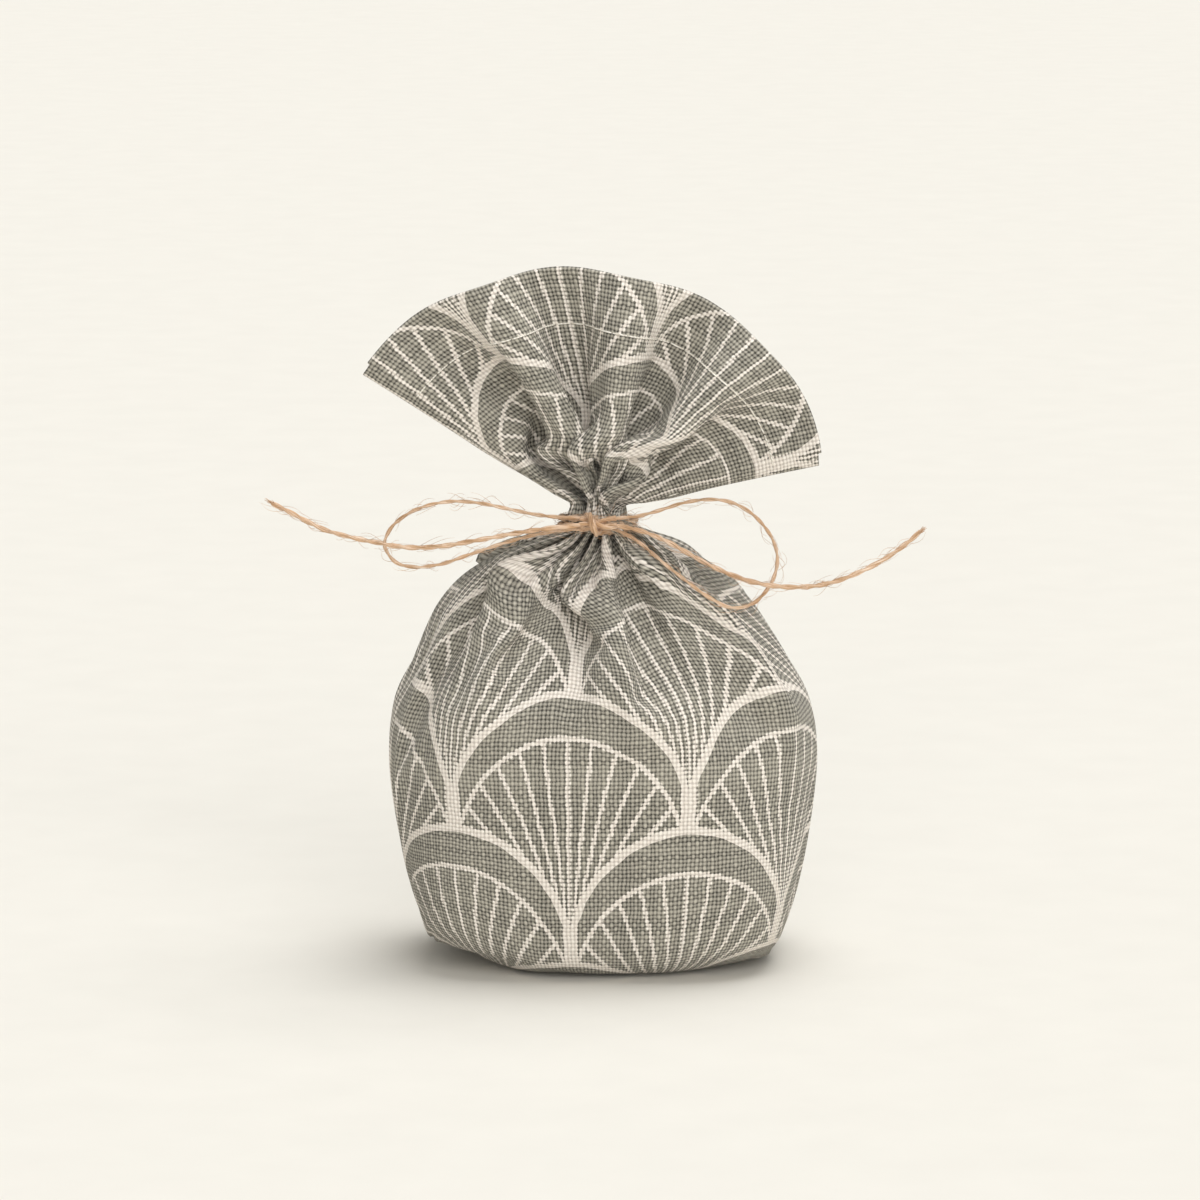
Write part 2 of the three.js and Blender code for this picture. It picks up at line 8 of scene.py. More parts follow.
import bmesh
import bpy
import numpy as np
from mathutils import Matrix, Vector


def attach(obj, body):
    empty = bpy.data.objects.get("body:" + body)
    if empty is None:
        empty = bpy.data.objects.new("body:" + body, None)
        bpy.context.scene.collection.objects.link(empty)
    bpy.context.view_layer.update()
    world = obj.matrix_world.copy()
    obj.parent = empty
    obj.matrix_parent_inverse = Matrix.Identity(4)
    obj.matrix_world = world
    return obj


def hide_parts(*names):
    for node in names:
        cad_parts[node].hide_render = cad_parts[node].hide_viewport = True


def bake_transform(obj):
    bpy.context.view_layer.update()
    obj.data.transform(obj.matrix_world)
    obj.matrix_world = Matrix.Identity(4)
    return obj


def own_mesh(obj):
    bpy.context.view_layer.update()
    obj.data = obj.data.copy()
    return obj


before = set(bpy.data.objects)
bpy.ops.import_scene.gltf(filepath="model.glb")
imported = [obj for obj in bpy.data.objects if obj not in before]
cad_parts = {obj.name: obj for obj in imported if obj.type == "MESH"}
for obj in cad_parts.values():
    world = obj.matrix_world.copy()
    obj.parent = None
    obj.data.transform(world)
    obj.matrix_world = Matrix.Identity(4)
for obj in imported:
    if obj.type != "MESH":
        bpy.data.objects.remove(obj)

LOG = logging.getLogger("pouch")
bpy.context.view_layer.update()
MM = 0.001
SIM_SCALE = 0.01  # the cloth is settled at ten times its size, so that a millimetre is a centimetre
KNOT_PLACE = np.array([1.0, -13.3, 90.0])
MATH = "ShaderNodeMath"
Socket = bpy.types.NodeSocket


class Side(Enum):
    """The two panels of the pouch, with the sign of Y that each one faces."""

    FRONT = -1
    BACK = 1


class Seam(Enum):
    """The two side seams, by the column of a panel that lies along each."""

    LEFT = 0
    RIGHT = -1


def smooth_curve(at: np.ndarray, knots: list[float], values: list[float]) -> np.ndarray:
    """Interpolate without overshoot.

    Args:
        at: Places to read.
        knots: Rising places of the known values.
        values: The known values.

    Returns:
        The values at those places, on a monotone cubic through the known ones.
    """
    x = np.asarray(knots, float)
    y = np.asarray(values, float)
    steps = np.diff(x)
    slopes = np.diff(y) / steps
    tangents = np.zeros_like(y)
    same = slopes[:-1] * slopes[1:] > 0
    mean = 2 * slopes[:-1] * slopes[1:] / np.where(same, slopes[:-1] + slopes[1:], 1)
    tangents[1:-1] = np.where(same, mean, 0)
    tangents[0] = slopes[0]
    tangents[-1] = slopes[-1]
    place = np.clip(np.asarray(at, float), x[0], x[-1])
    i = np.clip(np.searchsorted(x, place, side="right") - 1, 0, len(steps) - 1)
    h = steps[i]
    t = (place - x[i]) / h
    return (
        y[i] * (1 + 2 * t) * (1 - t) ** 2
        + tangents[i] * h * t * (1 - t) ** 2
        + y[i + 1] * t * t * (3 - 2 * t)
        + tangents[i + 1] * h * t * t * (t - 1)
    )


def smoothstep(value: np.ndarray | float, low: float, high: float) -> np.ndarray:
    """Rise smoothly from 0 at low to 1 at high."""
    t = np.clip((np.asarray(value, float) - low) / (high - low), 0, 1)
    return t * t * (3 - 2 * t)


def resample(line: np.ndarray, places: np.ndarray, along: np.ndarray | None = None) -> np.ndarray:
    """Read a line of points at given runs along it.

    Args:
        line: The points in order.
        places: Runs to read, in the units of the points.
        along: The run to each point, where it is known already.

    Returns:
        One point for each run.
    """
    if along is None:
        along = runs(line)
    return np.stack([np.interp(places, along, line[:, k]) for k in range(line.shape[1])], axis=1)


def runs(line: np.ndarray) -> np.ndarray:
    """Run along a line of points up to each of them."""
    return np.concatenate([[0], np.cumsum(np.linalg.norm(np.diff(line, axis=0), axis=1))])


def unit(vectors: np.ndarray) -> np.ndarray:
    """Vectors of length one."""
    return vectors / np.maximum(np.linalg.norm(vectors, axis=-1, keepdims=True), 1e-9)


def linear(code: str) -> tuple[float, float, float, float]:
    """Turn an sRGB hex colour into the linear one that shaders take.

    Args:
        code: Six hex digits.

    Returns:
        Linear red, green, blue and alpha.
    """
    parts = [int(code[i : i + 2], 16) / 255 for i in (0, 2, 4)]
    red, green, blue = [c / 12.92 if c <= 0.04045 else ((c + 0.055) / 1.055) ** 2.4 for c in parts]
    return red, green, blue, 1.0


def add_node(tree: bpy.types.NodeTree, kind: str, inputs: dict, **settings: object) -> Socket:
    """Add a node with its settings and links.

    Args:
        tree: The material's node tree.
        kind: Type of the node.
        inputs: Value or incoming socket for each input, by its number or name.
        **settings: Properties of the node.

    Returns:
        The node's first output.
    """
    node = tree.nodes.new(kind)
    for name, value in settings.items():
        setattr(node, name, value)
    for slot, value in inputs.items():
        if isinstance(value, Socket):
            tree.links.new(value, node.inputs[slot])
        else:
            node.inputs[slot].default_value = value
    return node.outputs[0] if node.outputs else None


def new_material(name: str) -> tuple[bpy.types.Material, bpy.types.NodeTree, bpy.types.Node]:
    """A material with its node tree and its main shader."""
    material = bpy.data.materials.new(name)
    material.use_nodes = True
    tree = material.node_tree
    return material, tree, tree.nodes["Principled BSDF"]


def link_object(name: str, mesh: bpy.types.Mesh) -> bpy.types.Object:
    """A smooth-shaded object for a mesh, in the scene."""
    mesh.polygons.foreach_set("use_smooth", [True] * len(mesh.polygons))
    made = bpy.data.objects.new(name, mesh)
    bpy.context.scene.collection.objects.link(made)
    return made


def built_object(name: str, builder: bmesh.types.BMesh) -> bpy.types.Object:
    """An object of what a builder holds."""
    mesh = bpy.data.meshes.new(name)
    builder.to_mesh(mesh)
    builder.free()
    return link_object(name, mesh)


def measured_object(
    name: str, points: np.ndarray, faces: list, layer: str, measure: np.ndarray
) -> bpy.types.Object:
    """An object of which each point has its place on the material.

    Args:
        name: Name of the piece.
        points: Its points in millimetres.
        faces: The points of each face, by number.
        layer: Name of its UV map.
        measure: Place of each point on that map.

    Returns:
        The object.
    """
    mesh = bpy.data.meshes.new(name)
    mesh.from_pydata((points.reshape(-1, 3) * MM).tolist(), [], faces)
    corners = np.empty(len(mesh.loops), np.int32)
    mesh.loops.foreach_get("vertex_index", corners)
    places = measure.reshape(-1, 2)[corners].astype(np.float32)
    mesh.uv_layers.new(name=layer).data.foreach_set("uv", places.ravel())
    return link_object(name, mesh)


def quads(index: np.ndarray) -> np.ndarray:
    """Four-sided faces over a grid of point numbers, row by row."""
    return np.stack([index[:-1, :-1], index[:-1, 1:], index[1:, 1:], index[1:, :-1]], axis=-1)


def bridge(builder: bmesh.types.BMesh, rings: list[np.ndarray], scale: float = MM) -> None:
    """Join closed rings of points one after another and close both ends.

    Args:
        builder: The mesh to add to.
        rings: Points of each ring, the same number in all.
        scale: Scene units for each unit of the points.
    """
    loops = [[builder.verts.new(Vector(point * scale)) for point in ring] for ring in rings]
    for low, high in zip(loops, loops[1:]):
        for i in range(len(low)):
            j = (i + 1) % len(low)
            builder.faces.new((low[i], low[j], high[j], high[i]))
    builder.faces.new(loops[0][::-1])
    builder.faces.new(loops[-1])


def fix(piece: bpy.types.Object, finish: bpy.types.Material, node: str) -> bpy.types.Object:
    """Give a piece its finish and hide the CAD node that it stands in for."""
    piece.data.materials.append(finish)
    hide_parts(node)
    return piece


@dataclass(frozen=True)
class PrintedCanvas:
    """Plain-woven half-panama cotton with a fan print in pale pigment ink.

    Thick soft yarns give a grain on every crossing, painted as light on the yarn tops and as shade in the
    gaps;
    the ink lies on the yarn tops, so its lines look beaded, and the cloth is dull all over.
    """

    name: str = "printed_cotton_canvas"
    yarn_across: float = 0.82
    yarn_up: float = 0.86
    # the ground runs from its colour in the weave's gaps, darkened there as painted shade, to its colour on
    # the yarn tops, lightened there as painted light
    ground_in_gap_shade: str = "302e28"
    ground_in_top_light: str = "c8c2b3"
    # the ink likewise runs from painted shade in the weave's gaps to painted light on the yarn tops
    ink_in_gap_shade: str = "f0e4d8"
    ink_in_top_light: str = "fff8ee"
    fan_radius: float = 24.0
    fan_stretch: float = 0.855
    fan_across: float = 13.2
    fan_up: float = 25.0
    # the head is drawn in above the tie, which brings its rows of fans closer together
    drawn_from: float = 132.0
    drawn_to: float = 158.0
    drawn_by: float = 9.0
    arc_rise: float = 0.71  # height of the arc's middle above the foot, as a share of the radius
    rim_more: float = 0.42  # how much more than a ray's half width the rim has
    foot_more: float = 1.2  # the same for the stem's foot
    rays: float = 21.0
    ray_bend: float = 1.25
    line: float = 0.47
    printed: bool = True

    def weave(self, tree: bpy.types.NodeTree, u: Socket, v: Socket) -> tuple[Socket, Socket]:
        """Height of the woven yarns, and a tone that differs from yarn to yarn.

        Args:
            tree: The material's node tree.
            u: Place across the cloth in millimetres.
            v: Place up the cloth in millimetres.

        Returns:
            Sockets for the height and for the tone, both from 0 to 1.
        """
        add = partial(add_node, tree)
        cells, flats, longs, cosines, tones = [], [], [], [], []
        for place, pitch, dip, floor in ((u, self.yarn_across, 0.3, 0.45), (v, self.yarn_up, 0.45, 0.55)):
            yarns = add(MATH, {0: place, 1: pitch}, operation="DIVIDE")
            cell = add(MATH, {0: yarns}, operation="FLOOR")
            turn = add(MATH, {0: yarns, 1: math.pi}, operation="MULTIPLY")
            sine = add(MATH, {0: turn}, operation="SINE")
            bulge = add(MATH, {0: sine}, operation="ABSOLUTE")
            cells.append(cell)
            flats.append(add(MATH, {0: bulge, 1: 0.45}, operation="POWER"))
            longs.append(add(MATH, {0: bulge, 1: dip, 2: floor}, operation="MULTIPLY_ADD"))
            cosines.append(add(MATH, {0: turn}, operation="COSINE"))
            tones.append(add("ShaderNodeTexWhiteNoise", {1: cell}, noise_dimensions="1D"))
        both = add(MATH, dict(enumerate(cells)), operation="ADD")
        over = add(MATH, {0: both, 1: 2.0}, operation="FLOORED_MODULO")
        warp = add(MATH, {0: flats[0], 1: longs[1]}, operation="MULTIPLY")
        weft = add(MATH, {0: flats[1], 1: longs[0]}, operation="MULTIPLY")
        top = add("ShaderNodeMix", {0: over, 2: warp, 3: weft})
        # where four yarns meet there is a small hole, which the colour paints dark as shade
        corner = add(MATH, dict(enumerate(cosines)), operation="MULTIPLY")
        hole = add(MATH, {0: corner, 1: corner}, operation="MULTIPLY")
        solid = add(MATH, {0: hole, 1: -0.85, 2: 1.0}, operation="MULTIPLY_ADD")
        height = add(MATH, {0: top, 1: solid}, operation="MULTIPLY")
        tone = add("ShaderNodeMix", {0: over, 2: tones[0], 3: tones[1]})
        return height, tone

    def lines(self, tree: bpy.types.NodeTree, distance: Socket, half: Socket) -> Socket:
        """Where a point lies within half a line's width of its middle, with a soft edge."""
        add = partial(add_node, tree)
        room = add(MATH, {0: half, 1: distance}, operation="SUBTRACT")
        return add(MATH, {0: room, 1: 5.0, 2: 0.5}, operation="MULTIPLY_ADD", use_clamp=True)

    def fans(self, tree: bpy.types.NodeTree, u: Socket, v: Socket, height: Socket) -> Socket:
        """Where the ink lies: rows of overlapping fans, each with an arc, rays and a stem.

        Args:
            tree: The material's node tree.
            u: Place across the cloth in millimetres.
            v: Place up the cloth in millimetres.
            height: Height of the weave, which breaks up the edges.

        Returns:
            Socket that is 1 on the ink.
        """
        add = partial(add_node, tree)
        r = self.fan_radius
        across = add(MATH, {0: u, 1: self.fan_across}, operation="ADD")
        drawn = add(
            "ShaderNodeMapRange",
            {0: v, 1: self.drawn_from, 2: self.drawn_to, 3: -self.fan_up, 4: self.drawn_by - self.fan_up},
            interpolation_type="SMOOTHSTEP",
        )
        raised = add(MATH, {0: v, 1: drawn}, operation="ADD")
        rows = add(MATH, {0: raised, 1: self.fan_stretch / r}, operation="MULTIPLY")
        row = add(MATH, {0: rows}, operation="FLOOR")
        part = add(MATH, {0: rows}, operation="FRACT")
        rise = add(MATH, {0: part, 1: r}, operation="MULTIPLY")
        odd = add(MATH, {0: row, 1: 2.0}, operation="FLOORED_MODULO")
        to_low = add(MATH, {0: odd, 1: r, 2: across}, operation="MULTIPLY_ADD")
        to_high = add(MATH, {0: to_low, 1: r}, operation="ADD")
        x_low = add(MATH, {0: to_high, 1: r, 2: -r}, operation="WRAP")
        x_high = add(MATH, {0: to_low, 1: r, 2: -r}, operation="WRAP")
        low_square = add(MATH, {0: x_low, 1: x_low}, operation="MULTIPLY")
        low_reach = add(MATH, {0: rise, 1: rise, 2: low_square}, operation="MULTIPLY_ADD")
        inside = add(MATH, {0: low_reach, 1: r * r}, operation="LESS_THAN")
        x = add("ShaderNodeMix", {0: inside, 2: x_high, 3: x_low})
        h = add(MATH, {0: inside, 1: r, 2: rise}, operation="MULTIPLY_ADD")
        # the ink takes more of a yarn's top than of the gaps, so each line swells and shrinks with the weave
        half = add(MATH, {0: height, 1: 0.5, 2: self.line - 0.3}, operation="MULTIPLY_ADD")
        above = add(MATH, {0: h, 1: self.arc_rise * r}, operation="SUBTRACT")
        x_square = add(MATH, {0: x, 1: x}, operation="MULTIPLY")
        arc_square = add(MATH, {0: above, 1: above, 2: x_square}, operation="MULTIPLY_ADD")
        arc_reach = add(MATH, {0: arc_square}, operation="SQRT")
        arc_off = add(MATH, {0: arc_reach, 1: r}, operation="SUBTRACT")
        arc_gap = add(MATH, {0: arc_off}, operation="ABSOLUTE")
        arc = self.lines(tree, arc_gap, half)
        within = add(MATH, {0: arc_off, 1: 0.0}, operation="LESS_THAN")
        base_square = add(MATH, {0: h, 1: h, 2: x_square}, operation="MULTIPLY_ADD")
        base_reach = add(MATH, {0: base_square}, operation="SQRT")
        # rays spread from the foot and bend outwards, and those at the side leave the rim one after another
        spread = add(MATH, {0: base_reach, 1: self.ray_bend}, operation="POWER")
        per_ray = add(MATH, {0: spread, 1: self.rays}, operation="DIVIDE")
        number = add(MATH, {0: x, 1: per_ray}, operation="DIVIDE")
        off_ray = add(MATH, {0: number, 1: 0.5}, operation="PINGPONG")
        ray_gap = add(MATH, {0: off_ray, 1: per_ray}, operation="MULTIPLY")
        taper = add("ShaderNodeMapRange", {0: base_reach, 1: 5.0, 2: 0.9 * r, 3: -0.2, 4: -0.08})
        thin = add(MATH, {0: half, 1: taper}, operation="ADD")
        ray = self.lines(tree, ray_gap, thin)
        fan = add(MATH, {0: ray, 1: within}, operation="MULTIPLY")
        x_size = add(MATH, {0: x}, operation="ABSOLUTE")
        beside = add(MATH, {0: x_size, 1: r}, operation="SUBTRACT")
        beside_square = add(MATH, {0: beside, 1: beside}, operation="MULTIPLY")
        out_square = add(MATH, {0: h, 1: h, 2: beside_square}, operation="MULTIPLY_ADD")
        out_reach = add(MATH, {0: out_square}, operation="SQRT")
        outside = add(MATH, {0: out_reach, 1: r + 0.65}, operation="SUBTRACT")
        rim_gap = add(MATH, {0: outside}, operation="ABSOLUTE")
        thick = add(MATH, {0: half, 1: self.rim_more}, operation="ADD")
        rim = self.lines(tree, rim_gap, thick)
        # the stem's foot is about 3 mm wide and stands on the fans below
        foot_gap = add(MATH, {0: beside}, operation="ABSOLUTE")
        foot_rise = add(MATH, {0: h, 1: 1.5 * r}, operation="LESS_THAN")
        foot_width = add(MATH, {0: half, 1: self.foot_more}, operation="ADD")
        foot_line = self.lines(tree, foot_gap, foot_width)
        foot = add(MATH, {0: foot_line, 1: foot_rise}, operation="MULTIPLY")
        foot_in = add(MATH, {0: foot, 1: inside}, operation="MULTIPLY")
        edge = add(MATH, {0: arc, 1: rim}, operation="MAXIMUM")
        upper = add(MATH, {0: fan, 1: foot_in}, operation="MAXIMUM")
        return add(MATH, {0: upper, 1: edge}, operation="MAXIMUM")

    def material(self) -> bpy.types.Material:
        """The cloth's material, on the cloth's own UV map in millimetres."""
        material, tree, shader = new_material(self.name)
        add = partial(add_node, tree)
        place = add("ShaderNodeUVMap", {}, uv_map="cloth")
        waver = add("ShaderNodeTexNoise", {"Vector": place, "Scale": 0.22, "Detail": 3.0})
        drift = waver.node.outputs["Color"]
        centred = add("ShaderNodeVectorMath", {0: drift, 1: (0.5, 0.5, 0.5)}, operation="SUBTRACT")
        shift = {0: centred, 1: (0.8, 0.8, 0.0), 2: place}
        moved = add("ShaderNodeVectorMath", shift, operation="MULTIPLY_ADD")
        split = add("ShaderNodeSeparateXYZ", {0: moved})
        u, v = split, split.node.outputs[1]
        height, tone = self.weave(tree, u, v)
        fuzz = add("ShaderNodeTexNoise", {"Vector": place, "Scale": 4.0, "Detail": 2.0})
        # the weave's height darkens the gaps and holes as painted shade and lightens the yarn tops as
        # painted light; the yarns' tones and the faint mottle are the cloth's own
        shade = add(MATH, {0: tone, 1: 0.35, 2: height}, operation="MULTIPLY_ADD")
        grain = add(MATH, {0: fuzz, 1: 0.5, 2: shade}, operation="MULTIPLY_ADD")
        level = add("ShaderNodeMapRange", {0: grain, 1: 0.35, 2: 1.45})
        tones = {0: level, 6: linear(self.ground_in_gap_shade), 7: linear(self.ground_in_top_light)}
        colour = ground = add("ShaderNodeMix", tones, data_type="RGBA").node.outputs[2]
        if self.printed:
            # the ink is painted with the same shade in the gaps and light on the tops
            tones = {0: level, 6: linear(self.ink_in_gap_shade), 7: linear(self.ink_in_top_light)}
            ink = add("ShaderNodeMix", tones, data_type="RGBA").node.outputs[2]
            mask = self.fans(tree, u, v, height)
            cover = add(MATH, {0: height, 1: 0.4, 2: 0.62}, operation="MULTIPLY_ADD", use_clamp=True)
            taken = add(MATH, {0: mask, 1: cover}, operation="MULTIPLY")
            colour = add("ShaderNodeMix", {0: taken, 6: ground, 7: ink}, data_type="RGBA").node.outputs[2]
        rough = add("ShaderNodeMapRange", {0: height, 3: 0.96, 4: 0.84})
        bump = add("ShaderNodeBump", {"Strength": 0.8, "Distance": 0.3 * MM, "Height": grain})
        tree.links.new(colour, shader.inputs["Base Color"])
        tree.links.new(rough, shader.inputs["Roughness"])
        tree.links.new(bump, shader.inputs["Normal"])
        shader.inputs["Sheen Weight"].default_value = 0.12
        shader.inputs["Sheen Roughness"].default_value = 0.6
        shader.inputs["Specular IOR Level"].default_value = 0.25
        return material


@dataclass(frozen=True)
class JuteFibre:
    """Loosely spun jute: straw-coloured bast fibre with a dull golden gloss and darker streaks along it."""

    name: str = "jute_twine"
    dark: str = "8c6640"
    middle: str = "cca47e"
    light: str = "f2dcc6"
    streaks: tuple[float, float, float] = (0.22, 9.0, 1.0)  # for each millimetre along and each turn round

    def material(self) -> bpy.types.Material:
        """The twine's material, on its own UV map: millimetres along, and turns round the ply."""
        material, tree, shader = new_material(self.name)
        add = partial(add_node, tree)
        place = add("ShaderNodeUVMap", {}, uv_map="twine")
        drawn = add("ShaderNodeVectorMath", {0: place, 1: self.streaks}, operation="MULTIPLY")
        streak = add("ShaderNodeTexNoise", {"Vector": drawn, "Scale": 1.0, "Detail": 4.0})
        slow = add("ShaderNodeTexNoise", {"Vector": place, "Scale": 0.12, "Detail": 2.0})
        mixed = add(MATH, {0: slow, 1: 0.45, 2: streak}, operation="MULTIPLY_ADD")
        ramp = add("ShaderNodeValToRGB", {0: mixed})
        band = ramp.node.color_ramp
        band.elements[0].position = 0.5
        band.elements[0].color = linear(self.dark)
        band.elements[1].position = 0.9
        band.elements[1].color = linear(self.light)
        band.elements.new(0.7).color = linear(self.middle)
        bump = add("ShaderNodeBump", {"Strength": 0.6, "Distance": 0.12 * MM, "Height": streak})
        tree.links.new(ramp, shader.inputs["Base Color"])
        tree.links.new(bump, shader.inputs["Normal"])
        shader.inputs["Roughness"].default_value = 0.62
        shader.inputs["Sheen Weight"].default_value = 0.2
        shader.inputs["Specular IOR Level"].default_value = 0.35
        return material


@dataclass(frozen=True)
class TwoToneFinish:
    """A matt finish that runs from one colour to another over a pattern on Object coordinates."""

    name: str
    low: str
    high: str
    rough: float
    grain: float  # size of the pattern in millimetres
    detail: float = 8.0
    bump: float = 0.0
    bump_depth: float = 0.0
    gloss: float = 0.5

    def pattern(self, tree: bpy.types.NodeTree, place: Socket) -> Socket:
        """Fine cloudy noise, from 0 to 1."""
        clouds = {"Vector": place, "Scale": 1 / (self.grain * MM), "Detail": self.detail}
        return add_node(tree, "ShaderNodeTexNoise", clouds)

    def material(self) -> bpy.types.Material:
        """The finish's material, with the pattern as its colour and its relief."""
        material, tree, shader = new_material(self.name)
        add = partial(add_node, tree)
        level = self.pattern(tree, add("ShaderNodeTexCoord", {}).node.outputs["Object"])
        tones = {0: level, 6: linear(self.low), 7: linear(self.high)}
        colour = add("ShaderNodeMix", tones, data_type="RGBA").node.outputs[2]
        tree.links.new(colour, shader.inputs["Base Color"])
        if self.bump:
            relief = {"Strength": self.bump, "Distance": self.bump_depth * MM, "Height": level}
            tree.links.new(add("ShaderNodeBump", relief), shader.inputs["Normal"])
        shader.inputs["Roughness"].default_value = self.rough
        shader.inputs["Specular IOR Level"].default_value = self.gloss
        return material


@dataclass(frozen=True)
class SpunThread(TwoToneFinish):
    """Two-ply cotton sewing thread: bright off-white with a fine slanting twist, its grooves painted darker
    as shade.
    """

    name: str = "cotton_sewing_thread"
    # the darker colour is the thread in the painted shade of its twist's grooves
    low: str = "d8d0c2"
    high: str = "fbf7ee"
    rough: float = 0.7
    grain: float = 0.45
    bump: float = 0.4
    bump_depth: float = 0.08

    def pattern(self, tree: bpy.types.NodeTree, place: Socket) -> Socket:
        """The thread's twist, drawn as slanting bands; the darker ones are painted shade in the grooves
        between the plies.
        """
        bands = {"Vector": place, "Scale": 0.314 / (self.grain * MM), "Distortion": 1.5}
        return add_node(tree, "ShaderNodeTexWave", bands, bands_direction="DIAGONAL").node.outputs[1]


@dataclass(frozen=True)
class PolyesterFill(TwoToneFinish):
    """Teased polyester fibre: white, matt and clouded by tangled tufts."""

    name: str = "polyester_fibrefill"
    low: str = "ddd9d0"
    high: str = "f6f4ef"
    rough: float = 0.95
    grain: float = 4.0
    bump: float = 0.8
    bump_depth: float = 1.2


@dataclass(frozen=True)
class StudioPaper(TwoToneFinish):
    """Seamless cream paper: matt, with a faint cloudy tooth."""

    name: str = "cream_paper"
    low: str = "e3e0d8"
    high: str = "e9e6de"
    rough: float = 0.95
    grain: float = 50 / 3
    detail: float = 6.0
    gloss: float = 0.1


@dataclass
class PouchShape:
    """Sizes of the cloth, in millimetres, and its gathered shape before it settles.

    The cloth is measured across each panel from its middle line (u) and up from the bottom seam (v).
    """

    columns: int = 64
    rows: int = 88
    samples: int = 1025
    mouth: float = 172.0
    hem: float = 12.0
    allowance: float = 4.0
    neck_low: float = 120.2
    neck_high: float = 124.2
    belly: float = 66.7
    neck_x: float = 1.0
    body_x: float = 2.0
    neck_top_z: float = 92.0
    neck_radius: float = 5.2
    bundle_radius: float = 8.0
    bundle_end: float = 128.0
    # pitch of the folds, the place of one of them across, and how far the back's stand from the front's
    body_pitch: float = 32.0
    body_place: float = 24.0
    body_shift: float = 8.0
    neck_pitch: float = 17.0
    head_pitch: float = 32.0
    upper_place: float = 14.0
    back_step: float = 9.0
    steepest: float = 2.3
    edge_ease: float = 14.0
    # the head's side seams in degrees, its reach from the tie, and where its flaps stand
    fan_left: float = 148.0
    fan_right: float = 13.0
    reach_left: float = 49.0
    reach_right: float = 39.5
    reach_crown: float = 2.05
    gape_front: float = 4.0
    gape_back: float = 13.0
    back_drop: float = 3.5
    right_lean: float = 8.0
    seam_turn: float = 8.0
    left_lift: float = 5.0
    right_lift: float = 2.5
    half_width: float = field(init=False)

    # place up the cloth, with the half width, half depth and height of the body's outline there
    LEVELS = [
        (0, 31, 0.1, 0.4), (10, 33, 10, 0.4), (18, 35, 17.8, 0.6), (21, 35.7, 20.6, 1.6),
        (24, 36.4, 23.3, 3), (27, 37.1, 25.7, 4.9), (29.5, 37.7, 26.8, 7.1), (33, 38.6, 27.6, 10.5),
        (40, 40, 28.8, 17.4), (52, 42, 30.2, 29.4), (66.7, 43.6, 31, 44), (75.5, 42.2, 30.2, 52.7),
        (84.5, 38.2, 27.8, 61.1), (94, 32.8, 24, 69.2), (104, 25.8, 19.2, 77.3), (109.5, 20, 15.4, 81.5),
        (115.5, 11.5, 10, 85.6), (120.2, 5.2, 5.2, 88), (124.2, 5.2, 5.2, 92),
    ]
    # middle across and up, spread across and up, and depth of each place where the cloth is pushed in
    DENTS = [(30.0, 89.0, 7.5, 13.0, 8.0), (-44.0, 77.0, 6.5, 13.0, 4.0), (4.0, 101.0, 7.0, 7.0, 3.0)]

    def __post_init__(self) -> None:
        """Take the panel's width from the belly, where the cloth lies unfolded."""
        self.half_width = self.outline(self.belly)[1][-1] / 4

    def level(self, v: float) -> tuple[float, float, float, float]:
        """Half width, half depth, height and middle of the body's outline at a height up the cloth."""
        places, *sizes = zip(*self.LEVELS)
        a, b, z = (float(smooth_curve(np.array([v]), places, size)[0]) for size in sizes)
        x = self.body_x + (self.neck_x - self.body_x) * float(smoothstep(v, self.belly, self.neck_low))
        return a, b, z, x

    def outline(self, v: float, count: int = 1440) -> tuple[np.ndarray, np.ndarray]:
        """Closed outline of the body at a height up the cloth.

        Args:
            v: Height up the cloth.
            count: Number of points.

        Returns:
            Points from the left extreme along the front to the right and back behind, and the run to each.
        """
        a, b, z, x = self.level(v)
        square = 2 + 0.5 * float(smoothstep(a, 6, 38)) + 1.1 * float(1 - smoothstep(v, 26, 60))
        turn = np.linspace(-math.pi, math.pi, count + 1)
        across = np.sign(np.cos(turn)) * np.abs(np.cos(turn)) ** (2 / square)
        deep = np.sign(np.sin(turn)) * np.abs(np.sin(turn)) ** (2 / square)
        lift = self.left_lift * smoothstep(-a * across, 8, 34)
        lift = lift + self.right_lift * smoothstep(a * across, 8, 34)
        high = z + lift * float(1 - smoothstep(v, 24, 62))
        points = np.stack([x + a * across, b * deep, high], axis=1)
        return points, runs(points[:, :2])

    def dent(self, u: np.ndarray, v: float) -> np.ndarray:
        """How far the front is pushed in at places across the body, measured from its middle."""
        depth = np.zeros_like(u)
        for u0, v0, wide, high, deep in self.DENTS:
            depth += deep * np.exp(-(((u - u0) / wide) ** 2) - ((v - v0) / high) ** 2)
        return depth

    def body_curve(self, v: float, side: Side, count: int = 721) -> np.ndarray:
        """Outline of one panel at a height up the body, from its left seam to its right one.

        The seams stand a little way round from the sides, because the gathered neck turns the body.
        """
        points, run = self.outline(v)
        turned = self.seam_turn * (1 - float(smoothstep(v, 80, self.neck_low)))
        turned *= run[-1] / (4 * self.half_width)
        half = np.linspace(0, run[-1] / 2, count)
        return resample(points, (turned - side.value * half) % run[-1], run)

